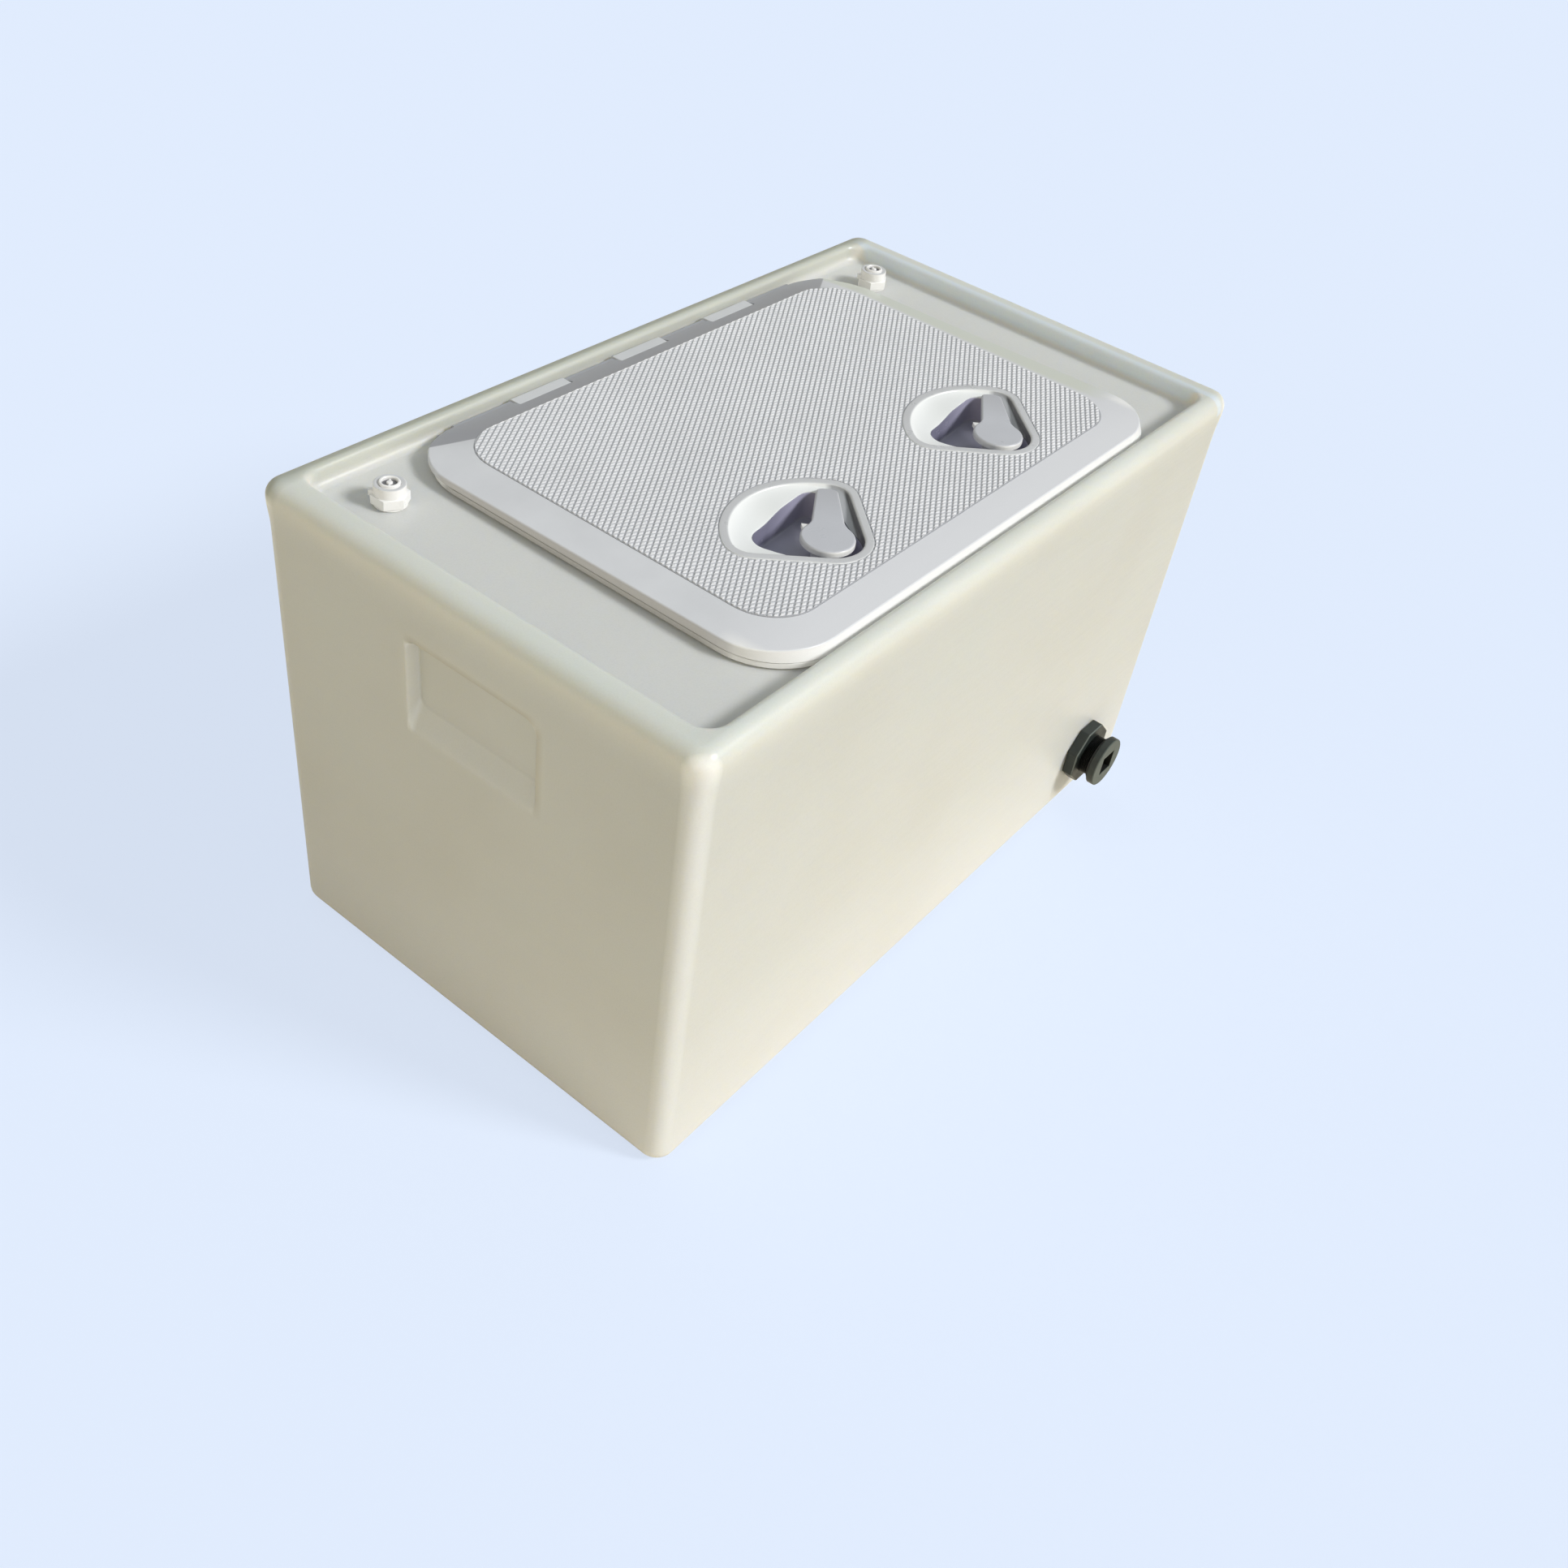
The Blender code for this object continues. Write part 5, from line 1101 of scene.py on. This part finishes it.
def mouth_reach(angle, outward):
    """The latch's mouth: round the hub, straight sides, an arc where the handle's tip sweeps."""
    corner = LATCH_SWEEP - LATCH_TIP_CORNER
    x, y = corner * math.cos(LATCH_TIP_ANGLE), corner * math.sin(LATCH_TIP_ANGLE)
    discs = [(0.0, 0.0, LATCH_HUB + outward)]
    discs += [(side * x, y, LATCH_TIP_CORNER + outward) for side in (-1, 1)]
    reach = disc_reach(discs, angle)
    sweep = LATCH_SWEEP + outward
    across = LATCH_MIDDLE * math.sin(angle)
    far = -across + math.sqrt(across ** 2 - LATCH_MIDDLE ** 2 + sweep ** 2)
    tip = math.atan2(LATCH_MIDDLE + far * math.sin(angle), far * math.cos(angle))
    if LATCH_TIP_ANGLE <= tip <= math.pi - LATCH_TIP_ANGLE:
        reach = max(reach, far)
    return reach


def cavity_reach(angle, outward):
    """The deep part of the bowl under the handle, near the handle's side of the mouth."""
    return disc_reach([(x, y, radius + outward) for x, y, radius in CAVITY_DISCS], angle)


def cavity_lift(angle):
    """How far the deep part's edge climbs towards the handle's tip, from 0 to 1."""
    share = ease(LIFT_REACH - abs(math.degrees(angle) - LIFT_TURN), 0.0, LIFT_SLOPE)
    return share * share * (3 - 2 * share)


def latch_outline(x, outward, z):
    return outline(lambda angle: mouth_reach(angle, outward), (x, LATCH_Y + LATCH_MIDDLE), z)


def cavity_outline(x, outward, z, lift=0.0):
    return outline(lambda angle: cavity_reach(angle, outward), (x, LATCH_Y + LATCH_MIDDLE), z,
                   lift=lambda angle: lift * cavity_lift(angle))


def scoop_outline(x, gentle, steep, z):
    """Between the mouth and the deep part: a gentle slope, but a steep wall behind the handle."""
    def reach(angle):
        side = ease(math.cos(angle + math.radians(20)), 0.35, 0.25)
        share = gentle + (steep - gentle) * side
        return (1 - share) * mouth_reach(angle, 0.0) + share * cavity_reach(angle, 0.0)
    left = 1 - (z - CAVITY_EDGE) / (SCOOP_TOP - CAVITY_EDGE)
    return outline(reach, (x, LATCH_Y + LATCH_MIDDLE), z,
                   lift=lambda angle: CAVITY_LIFT * left * cavity_lift(angle))


def make_bowl(side, x):
    """A deep cup, painted dark for the shade in it, and a dish, painted pale on its open slope, with its ring
    that lies over the cup's edge.
    """
    foot, edge = PAD_TOP - 0.002, CAVITY_EDGE - 0.0003
    cup = shell(f"latch_cup_{side}", rows(
        cavity_outline, (x, -0.0032, BOWL_FLOOR), (x, -0.0016, BOWL_FLOOR + 0.0006),
        (x, -0.0008, BOWL_FLOOR + 0.0022), (x, -0.0003, edge - 0.0006, CAVITY_LIFT),
        (x, -0.0001, edge, CAVITY_LIFT), (x, 0.0002, edge, CAVITY_LIFT), (x, 0.0002, 0.3424),
        (x, 0.0013, 0.342), (x, 0.0013, CUP_FOOT)))
    cut(cup, bar("bore", SMALL_ROUND, CUP_BORE, 0.32, 0.333, (x, LATCH_Y, 0)))
    finish(cup, "lid", f"latch_bowl_{side}", f"cup_{side}")
    steps = rows(cavity_outline, (x, 0.0004, DISH_FOOT), (x, 0.0004, CAVITY_EDGE - 0.0004, CAVITY_LIFT),
                 (x, 0.0006, CAVITY_EDGE, CAVITY_LIFT))
    steps += [scoop_outline(x, *step) for step in SCOOP_STEPS]
    steps += rows(latch_outline, (x, 0.0004, 0.3508), (x, 0.001, 0.35115), (x, 0.0016, PAD_TOP),
                  (x, LATCH_RING - 0.0012, PAD_TOP), (x, LATCH_RING - 0.0004, PAD_TOP - 0.0002),
                  (x, LATCH_RING, PAD_TOP - 0.0008), (x, LATCH_RING, foot), (x, 0.002, foot),
                  (x, 0.002, 0.3464))
    steps.append(cavity_outline(x, 0.0024, DISH_FOOT))
    dish = shell(f"latch_dish_{side}", steps, closed=True)
    finish(dish, "lid", f"latch_bowl_{side}", f"dish_{side}")


def handle_outline():
    """A round knob that runs out into a wide tail, a little wider on one side."""
    disc = [(HANDLE_DISC * math.cos(turn), HANDLE_DISC * math.sin(turn))
            for turn in (HANDLE_SHOULDER + (math.pi - HANDLE_SHOULDER) * i / 24 for i in range(25))]
    neck = [tuple((1 - t) ** 2 * a + 2 * t * (1 - t) * b + t * t * c
                  for a, b, c in zip(HANDLE_ROOT, HANDLE_BEND, disc[0])) for t in (i / 6 for i in range(6))]
    half = [*HANDLE_TIP, *neck, *disc]
    return half + [(x, -y - HANDLE_WIDER * ease(x, 0.01, 0.014)) for x, y in reversed(half[1:-1])]


def make_handle(side, x):
    """The handle, thinner towards its tip, with its hub below and a small bright fin by its shoulder."""
    handle = draw_plate(f"latch_lever_{side}", [(px, py, HANDLE_TOP) for px, py in handle_outline()],
                        HANDLE_THICKNESS)
    root, tip = HANDLE_ROOT[0], HANDLE_TIP[0][0]
    for vert in sculpt().verts:
        if vert.co.z < HANDLE_TOP - 0.001:
            share = ease(vert.co.x, root, tip - root)
            vert.co.z += (HANDLE_THICKNESS - HANDLE_TIP_THICKNESS) * share
    update()
    face_outwards()
    select("EDGE", lambda e: all(v.co.z > HANDLE_TOP - 1e-6 for v in e.verts))
    bevel(HANDLE_ROUND, 5)
    object_mode()
    fuse(handle, bar("hub", ROUND, HUB_WIDTH, HUB_FOOT, HANDLE_TOP - 0.0025, (0, 0, 0)))
    fin = draw_plate(f"latch_fin_{side}", FIN_CORNERS, FIN_HEIGHT)
    face_outwards()
    for piece, look in ((fin, "white"), (handle, f"handle_{side}")):
        turn_to_place(piece, x)
        finish(piece, f"latch_{side}", f"latch_handle_{side}", look)


def turn_to_place(piece, x):
    """Turn a handle's piece to its rest angle and move it to its latch."""
    edit(piece)
    bm = sculpt()
    bmesh.ops.rotate(bm, verts=bm.verts, cent=(0, 0, 0), matrix=Matrix.Rotation(HANDLE_TURN, 3, "Z"))
    bmesh.ops.translate(bm, verts=bm.verts, vec=(x, LATCH_Y, 0))
    update()
    object_mode()


# ---- air ports and drain
def make_port(side, x, y):
    """A hexagonal foot, a round barrel with a small lug, a release ring in its mouth, and a valve."""
    centre = (x, y, 0)
    port = bar(f"port_fitting_{side}", 6, PORT_FLATS, PORT_FOOT, PORT_HEX_TOP, centre, rounding=0.0005)
    cut(port, bar("bore", ROUND, PORT_BORE, PORT_CUT_LOW, PORT_CUT_HIGH, centre))
    cut(port, bar("mouth", ROUND, PORT_MOUTH, PORT_MOUTH_FOOT, PORT_CUT_HIGH, centre))
    fuse(port, turned("barrel", PORT_BARREL, centre, closed=True))
    lug = (x + LUG_REACH * math.cos(LUG_TURN), y + LUG_REACH * math.sin(LUG_TURN), LUG_Z)
    fuse(port, block("lug", lug, LUG_SIZE, 0.0009, LUG_TURN))
    finish(port, "tank", f"port_body_{side}", "barrel")
    ring = turned(f"port_release_{side}", RELEASE_RING, centre, closed=True)
    finish(ring, f"collet_{side}", f"port_collet_{side}", "white")
    seat = turned(f"port_valve_seat_{side}", VALVE_SEAT, centre, steps=SMALL_ROUND)
    fuse(seat, turned("post", VALVE_POST, centre, steps=SMALL_ROUND))
    finish(seat, "tank", f"port_valve_{side}", "dark")
    nub = turned(f"port_valve_nub_{side}", VALVE_NUB, centre, steps=SMALL_ROUND)
    fuse(nub, block("web", (x, y, WEB_Z), WEB_SIZE, 0.0003, WEB_TURN))
    finish(nub, "tank", f"port_valve_{side}", "white")


def thread_line(radius, depth, low, high, turns):
    """The profile of a screw thread: crests with sloping flanks."""
    pitch = (high - low) / turns
    line = []
    for turn in range(turns):
        level = low + turn * pitch
        line += [(radius - depth, level), (radius, level + pitch * 0.35), (radius, level + pitch * 0.6),
                 (radius - depth, level + pitch * 0.95)]
    return line


def make_drain():
    """Nut, threaded tube, seal ring and screw plug, outwards from the wall."""
    nut = bar("drain_locknut", 8, NUT_FLATS, NUT_LOW, NUT_HIGH, DRAIN_PLACE, "Y", NUT_ROUND, 3, math.pi / 8)
    cut(nut, bar("bore", WIDE_ROUND, DRAIN_BORE, -0.003, 0.014, DRAIN_PLACE, "Y"))
    finish(nut, "tank", "drain_nut", "black")
    profile = [*TUBE_FOOT, *thread_line(*TUBE_THREAD), *TUBE_TIP]
    tube = turned("drain_threaded_tube", profile, DRAIN_PLACE, OUTWARDS, WIDE_ROUND, closed=True)
    finish(tube, "tank", "drain_body", "thread")
    seal = turned("drain_seal_ring", SEAL_RING, DRAIN_PLACE, OUTWARDS, WIDE_ROUND, closed=True)
    finish(seal, "drain_seal", "drain_seal", "rubber")
    profile = [*PLUG_SHANK, *thread_line(*PLUG_THREAD), *PLUG_HEAD]
    plug = turned("drain_screw_plug", profile, DRAIN_PLACE, OUTWARDS, WIDE_ROUND)
    cut(plug, block("socket", (DRAIN_X, DRAIN_WALL - PLUG_FACE, DRAIN_Z), (SOCKET, 2 * SOCKET_DEPTH, SOCKET)))
    finish(plug, "drain_plug", "drain_plug", "plug")


# ---- carried-over CAD nodes
def dress_nodes():
    """The solids whose shape is right keep it and take a full finish."""
    by_slot = {"tank_plastic": "tank", "hatch_plastic": "handle_left", "frame_plastic": "frame",
               "white_plastic": "white", "black_plastic": "black", "seal_rubber": "rubber", "steel": "steel"}
    pale = {"deck_gasket": "gasket", "port_washer_left": "white", "port_washer_right": "white"}
    slots = {item["node"]: item["material_slot"] for item in frame["record"]["subparts"]}
    for name, ob in frame["nodes"].items():
        for place in ob.material_slots:
            place.material = FINISHES[pale.get(name, by_slot[slots[name]])]


def build():
    place_camera()
    light_room()
    lay_floor()
    make_finishes()
    make_tank()
    make_frame()
    make_screws()
    make_lid()
    make_tread()
    for side, x in zip(("left", "right"), LATCH_X):
        make_bowl(side, x)
        make_handle(side, x)
    for side, place in PORT_PLACES.items():
        make_port(side, *place)
    make_drain()
    dress_nodes()


build()
